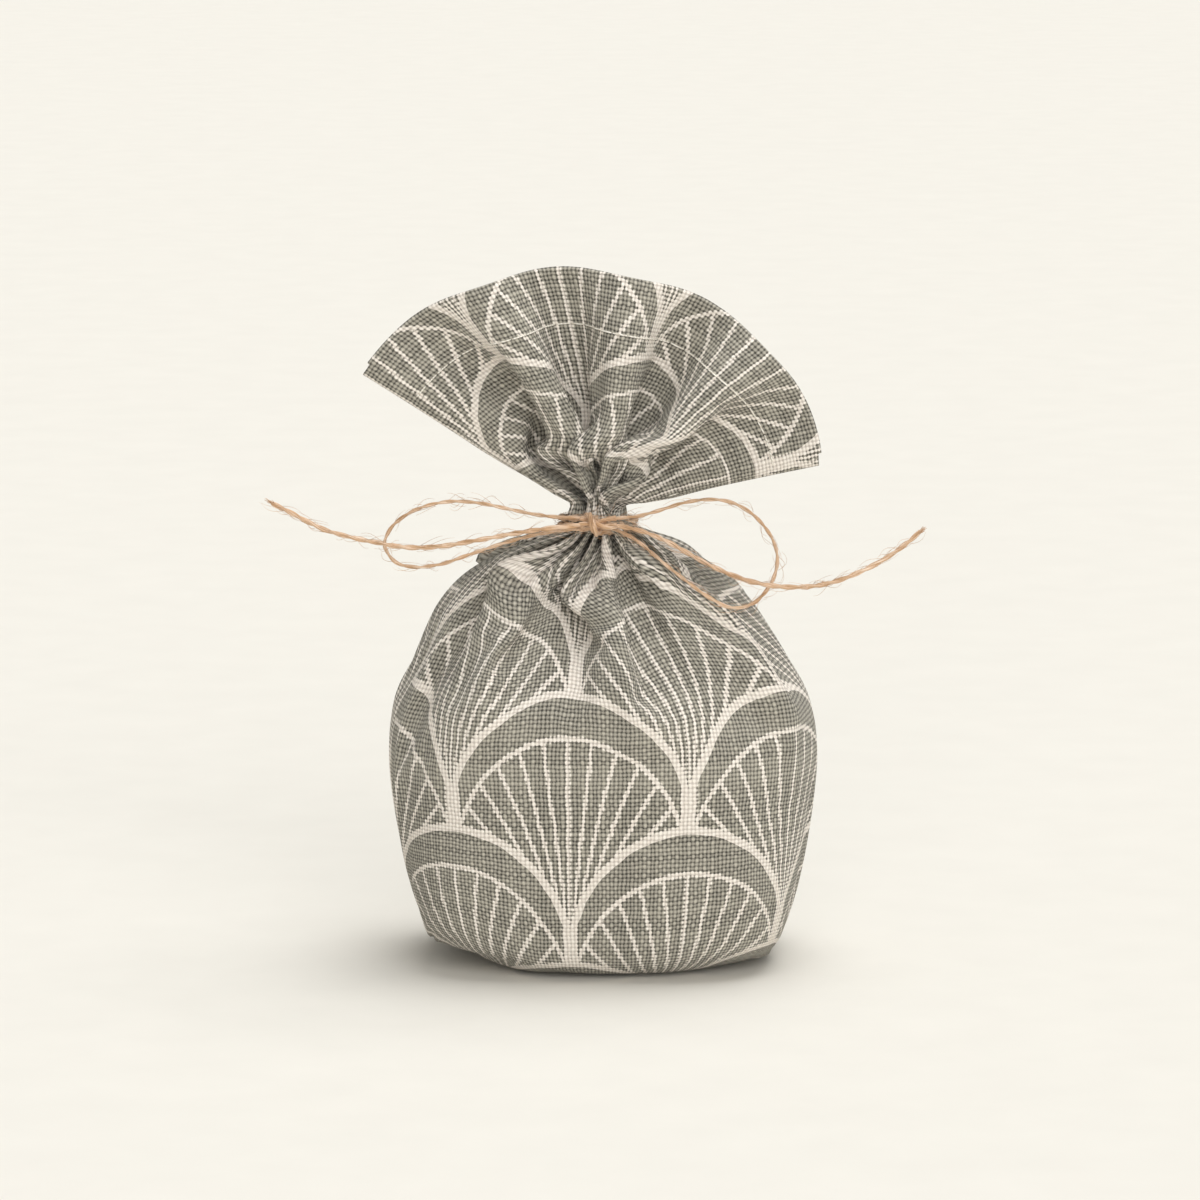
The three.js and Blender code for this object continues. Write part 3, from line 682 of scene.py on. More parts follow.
    def head_curve(self, v: float, side: Side, count: int = 721) -> np.ndarray:
        """Arc of one panel of the fanned head, from its left seam to its right one."""
        share = (v - self.neck_high) / (self.mouth - self.neck_high)
        across = np.linspace(-1, 1, count)
        angle = np.radians(self.fan_left + (self.fan_right - self.fan_left) * (across + 1) / 2)
        round_off = np.sqrt(np.maximum(0, 1 - across**2))
        reach = self.reach_left + (self.reach_right - self.reach_left) * (across + 1) / 2
        reach = reach + self.reach_crown * (1 - across**2)
        gape = self.gape_front if side is Side.FRONT else self.gape_back
        gape = self.neck_radius * (1 - share) + gape * share
        reach = reach - (self.back_drop * round_off if side is Side.BACK else 0)
        lean = self.right_lean * share * smoothstep(across, 0, 1)
        from_neck = self.neck_radius * np.sin(across * math.pi / 2)
        x = self.neck_x + from_neck + reach * share * np.cos(angle)
        z = self.neck_top_z + reach * share * np.sin(angle)
        return np.stack([x, side.value * gape * round_off - lean, z], axis=1)

    def folds(self, u: np.ndarray, v: float, side: Side) -> np.ndarray:
        """Wave of the gathers across a panel: long folds in the body and the head, short at the neck."""
        near = 1 - float(smoothstep(abs(v - 0.5 * (self.neck_low + self.neck_high)), 3, 24))
        upper = float(smoothstep(v, self.neck_low, self.neck_high))
        step = self.back_step if side is Side.BACK else 0.0
        body = np.sin(2 * math.pi * (u - self.body_place + self.body_shift - step) / self.body_pitch)
        neck = np.sin(2 * math.pi * (u + self.upper_place - step) / self.neck_pitch)
        head = np.sin(2 * math.pi * (u + self.upper_place - 2 * step) / self.head_pitch)
        return (1 - near) * ((1 - upper) * body + upper * head) + near * neck

    def folded(self, v: float, side: Side) -> np.ndarray:
        """One row of a panel, folded so that the cloth's whole width fits its shorter outline.

        Args:
            v: Height up the cloth.
            side: Which panel.

        Returns:
            The row's points from the left seam to the right one.
        """
        in_head = v > self.neck_high
        curve = self.head_curve(v, side) if in_head else self.body_curve(v, side)
        run = runs(curve)
        if v <= self.belly:
            return resample(curve, np.linspace(0, run[-1], self.columns + 1), run)
        count = self.samples
        u = np.linspace(-self.half_width, self.half_width, count)
        du = u[1] - u[0]
        wanted = min(run[-1] / (2 * self.half_width), 1.0)
        wave = self.folds(u, v, side)
        edge = smoothstep(self.half_width - np.abs(u), 0, self.edge_ease)
        weight = edge * (1 - 0.4 * smoothstep(np.abs(u), 40, 56)) if in_head else 0.35 + 0.65 * edge
        low, high = 0.0, 6.0
        for _ in range(40):
            strength = 0.5 * (low + high)
            turn = np.clip(strength * weight * wave, -self.steepest, self.steepest)
            if np.cos(turn).mean() > wanted:
                low = strength
            else:
                high = strength
        turn = np.clip(low * weight * wave, -self.steepest, self.steepest)
        middle = 0.5 * (turn[1:] + turn[:-1])
        along = np.concatenate([[0], np.cumsum(np.cos(middle) * du)])
        depth = np.concatenate([[0], np.cumsum(np.sin(middle) * du)])
        depth -= np.linspace(depth[0], depth[-1], count)
        depth -= depth.mean() * edge
        along *= run[-1] / along[-1]
        place = resample(curve, along, run)
        if in_head:
            out = np.tile([0.0, side.value, 0.0], (count, 1))
        else:
            tangent = np.gradient(place, axis=0)
            out = unit(-side.value * np.stack([tangent[:, 1], -tangent[:, 0], np.zeros(count)], axis=1))
        place = place + out * depth[:, None]
        grip = float(smoothstep(v, self.neck_low - 8, self.neck_low))
        grip *= float(1 - smoothstep(v, self.neck_high - 1, self.bundle_end))
        if grip > 0:
            off = place[:, :2] - [self.neck_x, 0.0]
            reach = np.linalg.norm(off, axis=1)
            squeezed = reach * self.bundle_radius / reach.max()
            place[:, :2] = [self.neck_x, 0.0] + off * (1 + grip * (squeezed / reach - 1))[:, None]
        return resample(place, np.linspace(0, count - 1, self.columns + 1), np.arange(count))

    def start(self, side: Side) -> np.ndarray:
        """All rows of a panel, gathered and folded."""
        heights = np.linspace(0, self.mouth, self.rows + 1)
        return np.stack([self.folded(v, side) for v in heights])

    def rest(self, side: Side) -> np.ndarray:
        """All rows of a panel as they were sewn: an open bag, as wide at the mouth as at the belly."""
        rows = []
        for v in np.linspace(0, self.mouth, self.rows + 1):
            row = self.folded(min(v, self.belly), side)
            row[:, 2] += max(v - self.belly, 0)
            rows.append(row)
        return np.stack(rows)


@dataclass
class ClothSettling:
    """Lets the gathered cloth settle over its filling with the neck held by the tie."""

    shape: PouchShape
    frames: int = 30
    quality: int = 6
    mass: float = 0.25
    tension: float = 30.0
    compression: float = 20.0
    shear: float = 10.0
    bending: float = 4.0
    gravity: float = 0.4
    distance: float = 0.003
    self_distance: float = 0.006
    hem_hold: float = 0.55
    seam_hold: float = 0.6
    seam_from: float = 94.0
    seam_beside: int = 4
    hold_stiffness: float = 4.0
    # the contents: where they begin and end up the cloth, and how far they keep inside it
    contents_low: float = 10.0
    contents_high: float = 99.0
    slack: float = 1.3
    crown_from: float = 74.0
    crown_slack: float = 9.0
    crown_floor: float = 1.6

    def ring(self, grids: dict[Side, np.ndarray]) -> np.ndarray:
        """Both panels as one closed ring of columns for each row, scaled for the settling."""
        both = np.concatenate([grids[Side.FRONT], grids[Side.BACK][:, -2:0:-1]], axis=1)
        return (both * SIM_SCALE).reshape(-1, 3)

    def contents(self) -> bpy.types.Object:
        """A closed body inside the cloth that stands for the soft contents."""
        builder = bmesh.new()
        rings = []
        for v in np.linspace(self.contents_low, self.contents_high, 48):
            points, run = self.shape.outline(v)
            even = np.linspace(0, run[-1], 97)[:-1]
            loop = resample(points, even, run)
            middle = np.array([loop[:, 0].mean(), loop[:, 1].mean()])
            sink = self.slack + self.crown_slack * float(smoothstep(v, self.crown_from, self.contents_high))
            sink = sink + self.shape.dent(even - run[-1] / 4, v)
            inset = 1 - sink / np.linalg.norm(loop[:, :2] - middle, axis=1)
            loop[:, :2] = middle + (loop[:, :2] - middle) * inset[:, None]
            loop[:, 2] = np.maximum(loop[:, 2], self.crown_floor)
            rings.append(loop)
        bridge(builder, rings, SIM_SCALE)
        bmesh.ops.recalc_face_normals(builder, faces=builder.faces)
        return built_object("contents", builder)

    def table(self) -> bpy.types.Object:
        """The surface that the pouch stands on."""
        builder = bmesh.new()
        bmesh.ops.create_grid(builder, x_segments=1, y_segments=1, size=2.0)
        return built_object("table", builder)

    def run(self) -> dict[Side, np.ndarray]:
        """Settle the cloth.

        Returns:
            The settled grid of each panel, in millimetres.
        """
        start = {side: self.shape.start(side) for side in Side}
        rest = {side: self.shape.rest(side) for side in Side}
        rows, columns = start[Side.FRONT].shape[:2]
        around = 2 * (columns - 1)
        index = np.arange(rows * around).reshape(rows, around)
        index[0, columns:] = index[0, columns - 2 : 0 : -1]
        after = np.roll(index, -1, axis=1)
        faces = np.stack([index[:-1], after[:-1], after[1:], index[1:]], axis=-1).reshape(-1, 4)
        used = np.unique(index)
        number = np.full(rows * around, -1)
        number[used] = np.arange(len(used))
        places = self.ring(start)[used]
        mesh = bpy.data.meshes.new("settling")
        mesh.from_pydata(places.tolist(), [], number[faces].tolist())
        sheet = link_object("settling", mesh)
        sheet.shape_key_add(name="gathered")
        sewn = sheet.shape_key_add(name="sewn")
        sewn.data.foreach_set("co", self.ring(rest)[used].astype(np.float32).ravel())
        held = sheet.vertex_groups.new(name="held")
        for row, v in enumerate(np.linspace(0, self.shape.mouth, rows)):
            members = [int(i) for i in number[index[row]]]
            if self.shape.neck_low <= v <= self.shape.neck_high:
                held.add(members, 1.0, "REPLACE")
            elif v > self.shape.mouth - self.shape.hem:
                held.add(members, self.hem_hold, "REPLACE")
            elif self.seam_from < v < self.shape.neck_low:
                reach = range(-self.seam_beside, self.seam_beside + 1)
                beside = [members[seam + k] for seam in (0, columns - 1) for k in reach]
                held.add(beside, self.seam_hold, "REPLACE")
        supports = [self.contents(), self.table()]
        for support in supports:
            support.modifiers.new("collision", "COLLISION")
            support.collision.thickness_outer = self.distance
            support.collision.cloth_friction = 8
        self.dress(sheet, sewn, held)
        scene = bpy.context.scene
        for step in range(1, self.frames + 1):
            scene.frame_set(step)
        graph = bpy.context.evaluated_depsgraph_get()
        settled = np.empty(len(used) * 3, np.float32)
        sheet.evaluated_get(graph).data.vertices.foreach_get("co", settled)
        settled = settled.reshape(-1, 3)
        moved = np.linalg.norm(settled - places, axis=1) / SIM_SCALE
        LOG.info("cloth settled, moved %.2f mm on average and %.2f at most", moved.mean(), moved.max())
        scene.frame_set(1)
        for extra in (sheet, *supports):
            bpy.data.objects.remove(extra)
        grid = settled[number[index]] / SIM_SCALE
        back = np.concatenate([grid[:, :1], grid[:, : columns - 2 : -1]], axis=1)
        return {Side.FRONT: grid[:, :columns], Side.BACK: back}

    def dress(self, sheet: bpy.types.Object, sewn: bpy.types.ShapeKey, held: bpy.types.VertexGroup) -> None:
        """Give the settling sheet its cloth.

        Args:
            sheet: The gathered cloth.
            sewn: Its shape before it was gathered.
            held: The points that the tie, the hem and the seams hold.
        """
        cloth = sheet.modifiers.new("cloth", "CLOTH")
        settings = cloth.settings
        settings.quality = self.quality
        settings.mass = self.mass
        settings.tension_stiffness = self.tension
        settings.compression_stiffness = self.compression
        settings.shear_stiffness = self.shear
        settings.bending_stiffness = self.bending
        settings.tension_damping = 15
        settings.compression_damping = 15
        settings.shear_damping = 15
        settings.bending_damping = 1
        settings.air_damping = 3
        settings.effector_weights.gravity = self.gravity
        settings.rest_shape_key = sewn
        settings.vertex_group_mass = held.name
        settings.pin_stiffness = self.hold_stiffness
        cloth.collision_settings.use_collision = True
        cloth.collision_settings.distance_min = self.distance
        cloth.collision_settings.collision_quality = 3
        cloth.collision_settings.use_self_collision = True
        cloth.collision_settings.self_distance_min = self.self_distance
        cloth.point_cache.frame_start = 1
        cloth.point_cache.frame_end = self.frames


def refined(grid: np.ndarray) -> np.ndarray:
    """A grid of points with a smooth one put between each two, and its borders kept."""
    for axis in (0, 1):
        grid = np.swapaxes(grid, 0, axis)
        fine = np.empty((2 * len(grid) - 1, *grid.shape[1:]))
        fine[0::2] = grid
        fine[2:-2:2] = 0.125 * grid[:-2] + 0.75 * grid[1:-1] + 0.125 * grid[2:]
        fine[1::2] = 0.5 * (grid[:-1] + grid[1:])
        grid = np.swapaxes(fine, 0, axis)
    return grid


@dataclass
class Panel:
    """One panel of the cloth, with its hem turned in at the mouth."""

    shape: PouchShape
    side: Side
    settled: np.ndarray
    thickness: float = 0.55
    fold: float = 0.62
    hem_short: int = 3
    grid: np.ndarray = field(init=False)
    heights: np.ndarray = field(init=False)
    across: np.ndarray = field(init=False)
    outward: np.ndarray = field(init=False)

    def __post_init__(self) -> None:
        """Refine the settled grid and find which way its cloth faces."""
        self.grid = refined(self.settled)
        rows, columns = self.grid.shape[:2]
        self.heights = np.linspace(0, self.shape.mouth, rows)
        self.across = np.linspace(-self.shape.half_width, self.shape.half_width, columns)
        facing = np.cross(np.gradient(self.grid, axis=1), np.gradient(self.grid, axis=0))
        self.outward = unit(-self.side.value * facing)

    def row(self, v: float, lift: float = 0.0) -> np.ndarray:
        """Points across the panel at a height up the cloth, lifted off its outer face."""
        place = v / self.shape.mouth * (len(self.heights) - 1)
        low = min(int(place), len(self.heights) - 2)
        part = place - low
        points = (1 - part) * self.grid[low] + part * self.grid[low + 1]
        return points + lift * unit((1 - part) * self.outward[low] + part * self.outward[low + 1])

    def build(self) -> bpy.types.Object:
        """The panel's mesh, with the cloth's own measure in millimetres as its UV map."""
        top, out = self.grid[-1], self.outward[-1]
        up = unit(self.grid[-1] - self.grid[-3])
        rows = list(self.grid)
        heights = list(self.heights)
        for angle in (45, 90, 135):
            swing = math.radians(angle)
            rows.append(top + self.fold * (math.sin(swing) * up - (1 - math.cos(swing)) * out))
            heights.append(self.shape.mouth + self.fold * swing)
        count = int(round(self.shape.hem / (self.heights[1] - self.heights[0])))
        for k in range(count + 1):
            rows.append(self.grid[-1 - k] - 2 * self.fold * self.outward[-1 - k])
            heights.append(self.shape.mouth + self.fold * math.pi + self.heights[k])
        points = np.stack(rows)
        faces = quads(np.arange(points.shape[0] * points.shape[1]).reshape(points.shape[:2]))
        wall = faces[: len(self.heights) - 1].reshape(-1, 4)
        turned = faces[len(self.heights) - 1 :, self.hem_short : -self.hem_short].reshape(-1, 4)
        faces = np.concatenate([wall, turned])
        if self.side is Side.BACK:
            faces = faces[:, ::-1]
        used, faces = np.unique(faces, return_inverse=True)
        across = -self.side.value * self.across
        measure = np.stack(np.broadcast_arrays(across[None], np.array(heights)[:, None]), axis=-1)
        return measured_object(
            f"{self.side.name.lower()}_cloth", points.reshape(-1, 3)[used], faces.reshape(-1, 4).tolist(),
            "cloth", measure.reshape(-1, 2)[used],
        )

    def dress(
        self, canvas: bpy.types.Material, reverse: bpy.types.Material, sewn: list[bpy.types.Object]
    ) -> bpy.types.Object:
        """Build the panel, thicken it and fix it to the pouch.

        Args:
            canvas: Finish of the printed face.
            reverse: Finish of the inner face.
            sewn: The pieces sewn to it; not used.

        Returns:
            The panel's object.
        """
        piece = fix(self.build(), canvas, f"{self.side.name.lower()}_panel")
        piece.data.materials.append(reverse)
        wall = piece.modifiers.new("cloth thickness", "SOLIDIFY")
        wall.thickness = self.thickness * MM
        wall.offset = -1
        wall.material_offset = 1
        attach(piece, "pouch")
        return piece


@dataclass
class StitchRow:
    """A row of machine stitches, each a short raised thread that dips into the cloth at its ends."""

    name: str
    length: float = 2.9
    gap: float = 0.25
    radius: float = 0.17
    end_room: float = 0.5
    sides: int = 6
    builder: bmesh.types.BMesh = field(default_factory=bmesh.new)

    # share of a stitch's length, with its lift off the cloth and its half width there against the radius
    SHAPE = [
        (0, -0.35, 0.7), (0.12, 0.6, 0.95), (0.35, 0.95, 1),
        (0.65, 0.95, 1), (0.88, 0.6, 0.95), (1, -0.35, 0.7),
    ]

    def sew(self, line: np.ndarray, outward: np.ndarray) -> None:
        """Sew along a line.

        Args:
            line: Points on the cloth in millimetres.
            outward: Way out of the cloth at each point.
        """
        run = runs(line)
        whole = run[-1] - 2 * self.end_room
        count = int(whole / (self.length + self.gap))
        step = whole / count
        shares, lifts, widths = np.array(self.SHAPE).T
        turn = np.linspace(0, 2 * math.pi, self.sides, endpoint=False)
        up = self.radius * (lifts[:, None] + widths[:, None] * np.sin(turn))
        aside = self.radius * widths[:, None] * np.cos(turn)
        for k in range(count):
            places = self.end_room + step * k + (step - self.gap) * shares
            middle = resample(line, places, run)
            out = unit(resample(outward, places, run))
            beside = unit(np.cross(unit(np.gradient(middle, axis=0)), out))
            rings = middle[:, None] + out[:, None] * up[..., None] + beside[:, None] * aside[..., None]
            bridge(self.builder, rings)

    def dress(self, thread: bpy.types.Material, node: str) -> bpy.types.Object:
        """Finish the row and fix it to the pouch in place of its CAD node."""
        bmesh.ops.recalc_face_normals(self.builder, faces=self.builder.faces)
        piece = fix(built_object(self.name, self.builder), thread, node)
        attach(piece, "pouch")
        return piece


@dataclass
class SideSeams:
    """The seam allowance inside the pouch, down both sides and along the bottom, with its stitching."""

    front: Panel
    back: Panel
    depth: float = 4.0
    neck_depth: float = 0.7
    thickness: float = 1.1
    stitch_in: float = 1.2

    def line(self, seam: Seam) -> tuple[np.ndarray, np.ndarray]:
        """One side seam from the mouth down, with the way into the pouch at each point."""
        edge = self.front.grid[::-1, seam.value]
        inside = 3 if seam is Seam.LEFT else -4
        toward = self.front.grid[::-1, inside] + self.back.grid[::-1, inside] - 2 * edge
        middle = 0.5 * (self.front.grid[::-1].mean(axis=1) + self.back.grid[::-1].mean(axis=1)) - edge
        in_body = (self.front.heights[::-1] < self.front.shape.neck_high)[:, None]
        toward = np.where(in_body, middle, toward)
        kernel = np.ones(9) / 9
        padded = np.pad(unit(toward), ((4, 4), (0, 0)), mode="edge")
        smooth = np.stack([np.convolve(padded[:, k], kernel, mode="valid") for k in range(3)], axis=1)
        return edge[1:], unit(smooth)[1:]

    def route(self) -> tuple[np.ndarray, np.ndarray, np.ndarray]:
        """The whole seam from the left of the mouth round to the right: points, way in, and depth."""
        left, left_in = self.line(Seam.LEFT)
        right, right_in = self.line(Seam.RIGHT)
        bottom = self.front.grid[0, 4:-4]
        bottom_in = np.tile([0.0, 0.0, 1.0], (len(bottom), 1))
        points = np.concatenate([left[:-6], bottom, right[-7::-1]])
        inward = unit(np.concatenate([left_in[:-6], bottom_in, right_in[-7::-1]]))
        heights = self.front.heights
        heights = np.concatenate([heights[::-1][1:-6], np.zeros(len(bottom)), heights[6:-1]])
        middle = 0.5 * (self.front.shape.neck_low + self.front.shape.neck_high)
        widening = smoothstep(np.abs(heights - middle), 10, 40)
        depth = self.neck_depth + (self.depth - self.neck_depth) * widening
        return points, inward, depth

    def dress(self, reverse: bpy.types.Material, thread: bpy.types.Material) -> list[bpy.types.Object]:
        """Build the allowance and its stitches and fix them to the pouch.

        Args:
            reverse: Finish of the cloth's inner face.
            thread: Finish of the stitches.

        Returns:
            The allowance and the stitches.
        """
        points, inward, depth = self.route()
        shares = np.array([0.15, 0.45, 0.75, 1.0])
        band = points[:, None] + inward[:, None] * (depth[:, None] * shares)[..., None]
        measure = np.stack(np.broadcast_arrays(shares * self.depth, runs(points)[:, None]), axis=-1)
        faces = quads(np.arange(band.shape[0] * band.shape[1]).reshape(band.shape[:2])).reshape(-1, 4)
        piece = measured_object("seam_allowance_cloth", band, faces.tolist(), "cloth", measure)
        fix(piece, reverse, "seam_allowance")
        wall = piece.modifiers.new("two layers", "SOLIDIFY")
        wall.thickness = self.thickness * MM
        wall.offset = 0
        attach(piece, "pouch")
        stitches = StitchRow("seam_thread", length=2.2, gap=0.5)
        facing = unit(np.cross(unit(np.gradient(points, axis=0)), inward))
        sewn = points + inward * np.minimum(self.stitch_in, 0.6 * depth)[:, None]
        stitches.sew(sewn + facing * 0.5 * self.thickness, facing)
        return [piece, stitches.dress(thread, "seam_stitch")]


@dataclass
class Filling:
    """The soft contents: a crowned body that fills the settled cloth and parts round the seam allowance."""

    front: Panel
    back: Panel
    inset: float = 1.5
    groove: float = 5.2
    bottom: float = 6.0
    low: float = 24.0
    high: float = 98.0
    crown_from: float = 88.0
    crown: float = 0.55

    def dress(self, fill: bpy.types.Material) -> bpy.types.Object:
        """Build the filling and fix it to the pouch."""
        builder = bmesh.new()
        rings = []
        columns = len(self.front.across)
        beside = np.minimum(np.arange(columns), np.arange(columns)[::-1])
        sink = self.inset + self.groove * (1 - smoothstep(beside, 2, 7))
        deep = np.concatenate([sink[:-1], sink[:0:-1]])
        for v in np.linspace(self.low, self.high, 40):
            loop = np.concatenate([self.front.row(v)[:-1], self.back.row(v)[:0:-1]])
            middle = np.array([loop[:, 0].mean(), loop[:, 1].mean()])
            reach = np.linalg.norm(loop[:, :2] - middle, axis=1)
            crown = self.crown * smoothstep(v, self.crown_from, self.high) ** 2
            # it lies under the deepest of the folds near by
            under = np.min([np.roll(reach, k) for k in range(-6, 7)], axis=0)
            scale = (under - deep) / reach * (1 - crown)
            loop[:, :2] = middle + (loop[:, :2] - middle) * scale[:, None]
            loop[:, 2] = np.maximum(loop[:, 2], self.bottom)
            rings.append(loop[::2])
        bridge(builder, rings)
        bmesh.ops.triangulate(builder, faces=[face for face in builder.faces if len(face.verts) > 4])
        bmesh.ops.smooth_vert(builder, verts=builder.verts, factor=0.4, use_axis_x=True, use_axis_y=True)
        bmesh.ops.recalc_face_normals(builder, faces=builder.faces)
        piece = fix(built_object("fibre_filling", builder), fill, "filling")
        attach(piece, "pouch")
        return piece


def smooth_through(route: np.ndarray, step: float) -> np.ndarray:
    """A centripetal Catmull-Rom curve through points, read at even steps.

    Args:
        route: Points to pass through, in millimetres.
        step: Distance between the points of the curve.

    Returns:
        Points of the curve.
    """
    ends = np.concatenate([[2 * route[0] - route[1]], route, [2 * route[-1] - route[-2]]])
    dense = []
    for a, b, c, d in zip(ends, ends[1:], ends[2:], ends[3:]):
        knots = [0.0]
        for p, q in ((a, b), (b, c), (c, d)):
            knots.append(knots[-1] + float(np.linalg.norm(q - p)) ** 0.5)
        t0, t1, t2, t3 = knots
        t = np.linspace(t1, t2, 24, endpoint=False)[:, None]
        ab = ((t1 - t) * a + (t - t0) * b) / (t1 - t0)
        bc = ((t2 - t) * b + (t - t1) * c) / (t2 - t1)
        cd = ((t3 - t) * c + (t - t2) * d) / (t3 - t2)
        abc = ((t2 - t) * ab + (t - t0) * bc) / (t2 - t0)
        bcd = ((t3 - t) * bc + (t - t1) * cd) / (t3 - t1)
        dense.append(((t2 - t) * abc + (t - t1) * bcd) / (t2 - t1))
    line = np.concatenate([*dense, route[-1:]])
    total = runs(line)[-1]
    return resample(line, np.linspace(0, total, max(2, int(round(total / step)) + 1)))


def carried_frame(line: np.ndarray) -> tuple[np.ndarray, np.ndarray, np.ndarray]:
    """Tangent and two crossing directions along a line, turned as little as possible from point to point."""
    ahead = unit(np.gradient(line, axis=0))
    first = np.cross(ahead[0], [0.0, 0.0, 1.0])
    if np.linalg.norm(first) < 0.1:
        first = np.cross(ahead[0], [0.0, 1.0, 0.0])
    beside = [unit(first)]
    for tangent in ahead[1:]:
        beside.append(unit(beside[-1] - tangent * np.dot(beside[-1], tangent)))
    beside = np.stack(beside)
    return ahead, beside, np.cross(ahead, beside)


@dataclass
class Twine:
    """A length of two-ply jute with loose fibres, laid along one or more lines."""

    name: str
    seed: int
    pitch: float = 7.0
    ply_offset: float = 0.29
    ply_radius: float = 0.5
    sides: int = 8
    points: list[np.ndarray] = field(default_factory=list)
    faces: list[list[int]] = field(default_factory=list)
    measure: list[np.ndarray] = field(default_factory=list)
    count: int = 0
    random: np.random.Generator = field(init=False)

    def __post_init__(self) -> None:
        """Seed the uneven spinning and the loose fibres."""
        self.random = np.random.default_rng(self.seed)

    def tube(self, line: np.ndarray, radii: np.ndarray, sides: int) -> None:
        """Add a closed round tube along a line.

        Args:
            line: Middle of the tube in millimetres.
            radii: Its radius at each point.
            sides: Number of sides.
        """
        _, beside, over = carried_frame(line)
        turn = np.linspace(0, 2 * math.pi, sides, endpoint=False)
        spokes = np.cos(turn)[None, :, None] * beside[:, None] + np.sin(turn)[None, :, None] * over[:, None]
        rings = line[:, None] + radii[:, None, None] * spokes
        index = np.arange(len(line) * sides).reshape(len(line), sides) + self.count
        after = np.roll(index, -1, axis=1)
        around = np.stack([index[:-1], after[:-1], after[1:], index[1:]], axis=-1)
        self.faces += around.reshape(-1, 4).tolist()
        self.faces += [index[0, ::-1].tolist(), index[-1].tolist()]
        run = runs(line) + self.random.uniform(0, 400)
        lap = np.abs(np.linspace(-1, 1, sides, endpoint=False))
        self.measure.append(np.stack(np.broadcast_arrays(run[:, None], lap[None]), axis=-1).reshape(-1, 2))
        self.points.append(rings.reshape(-1, 3))
        self.count += len(line) * sides

    def uneven(self, count: int, amount: float, spacing: int) -> np.ndarray:
        """Slow random swelling about 1 along a line."""
        knots = self.random.normal(1, amount, max(4, count // spacing + 2))
        return smooth_curve(np.linspace(0, len(knots) - 1, count), list(range(len(knots))), list(knots))

    def lay(self, line: np.ndarray, thick: float = 1.0, fibres: float = 1.0, twist: float = 0.0) -> None:
        """Lay twine along a line: two plies twisted together and the fibres that stand off them.

        Args:
            line: Middle of the twine in millimetres, in steps of about half a millimetre.
            thick: Thickness against the usual one.
            fibres: Loose fibres for each millimetre.
            twist: Where in the twist the line starts, in radians.
        """
        ahead, beside, over = carried_frame(line)
        run = runs(line)
        turn = twist + 2 * math.pi * run / self.pitch + 0.5 * (self.uneven(len(line), 0.5, 22) - 1)
        for start in (0.0, math.pi):
            swing = (turn + start)[:, None]
            swell = self.uneven(len(line), 0.09, 9) * thick
            offset = self.ply_offset * thick * (np.cos(swing) * beside + np.sin(swing) * over)
            self.tube(line + offset, self.ply_radius * swell, self.sides)
        for _ in range(int(fibres * run[-1])):
            self.fibre(run, line, ahead, beside, over)

    def fibre(self, run: np.ndarray, *lines: np.ndarray) -> None:
        """Add one fibre that lifts off the twine, follows it a little way and curls.

        Args:
            run: Run along the twine to each of its points.
            *lines: The points, and the way ahead and the two crossing directions at each.
        """
        length = self.random.uniform(1.2, 5.0)
        first = self.random.uniform(0, run[-1])
        way = self.random.choice([-1.0, 1.0])
        t = np.linspace(0, 1, 6)
        places = np.clip(first + way * length * t, 0, run[-1])
        middle, ahead, beside, over = (resample(line, places, run) for line in lines)
        angle = self.random.uniform(0, 2 * math.pi) + self.random.uniform(-0.7, 0.7) * t
        out = unit(np.cos(angle)[:, None] * beside + np.sin(angle)[:, None] * over)
        height = self.random.uniform(0.2, 1.7) * min(1.0, length / 3)
        lift = 0.5 + height * np.sin(t * self.random.uniform(1.3, 2.9))
        beyond = first + way * length * t - places
        path = middle + out * lift[:, None] + beyond[:, None] * ahead
        self.tube(path, np.linspace(0.05, 0.022, 6), 3)

    def fray(self, tip: np.ndarray, way: np.ndarray, count: int = 16) -> None:
        """Add the loose fibres of a cut end.

        Args:
            tip: The end of the twine.
            way: Direction in which it ends.
            count: Number of fibres.
        """
        beside = unit(np.cross(way, [0.0, 0.0, 1.0]))
        over = np.cross(beside, way)
        for _ in range(count):
            angle = self.random.uniform(0, 2 * math.pi)
            off = math.cos(angle) * beside + math.sin(angle) * over
            spread = self.random.uniform(0.1, 0.75)
            length = self.random.uniform(0.8, 2.4)
            t = np.linspace(0, 1, 5)[:, None]
            path = tip - way * 0.8 + off * (0.35 * spread + spread * t * t * 0.7) + way * length * t
            self.tube(path, np.linspace(0.13, 0.05, 5), 4)

    def finish(self, jute: bpy.types.Material, node: str) -> bpy.types.Object:
        """Make the twine's object in place of its CAD node."""
        points, measure = np.concatenate(self.points), np.concatenate(self.measure)
        return fix(measured_object(self.name, points, self.faces, "twine", measure), jute, node)


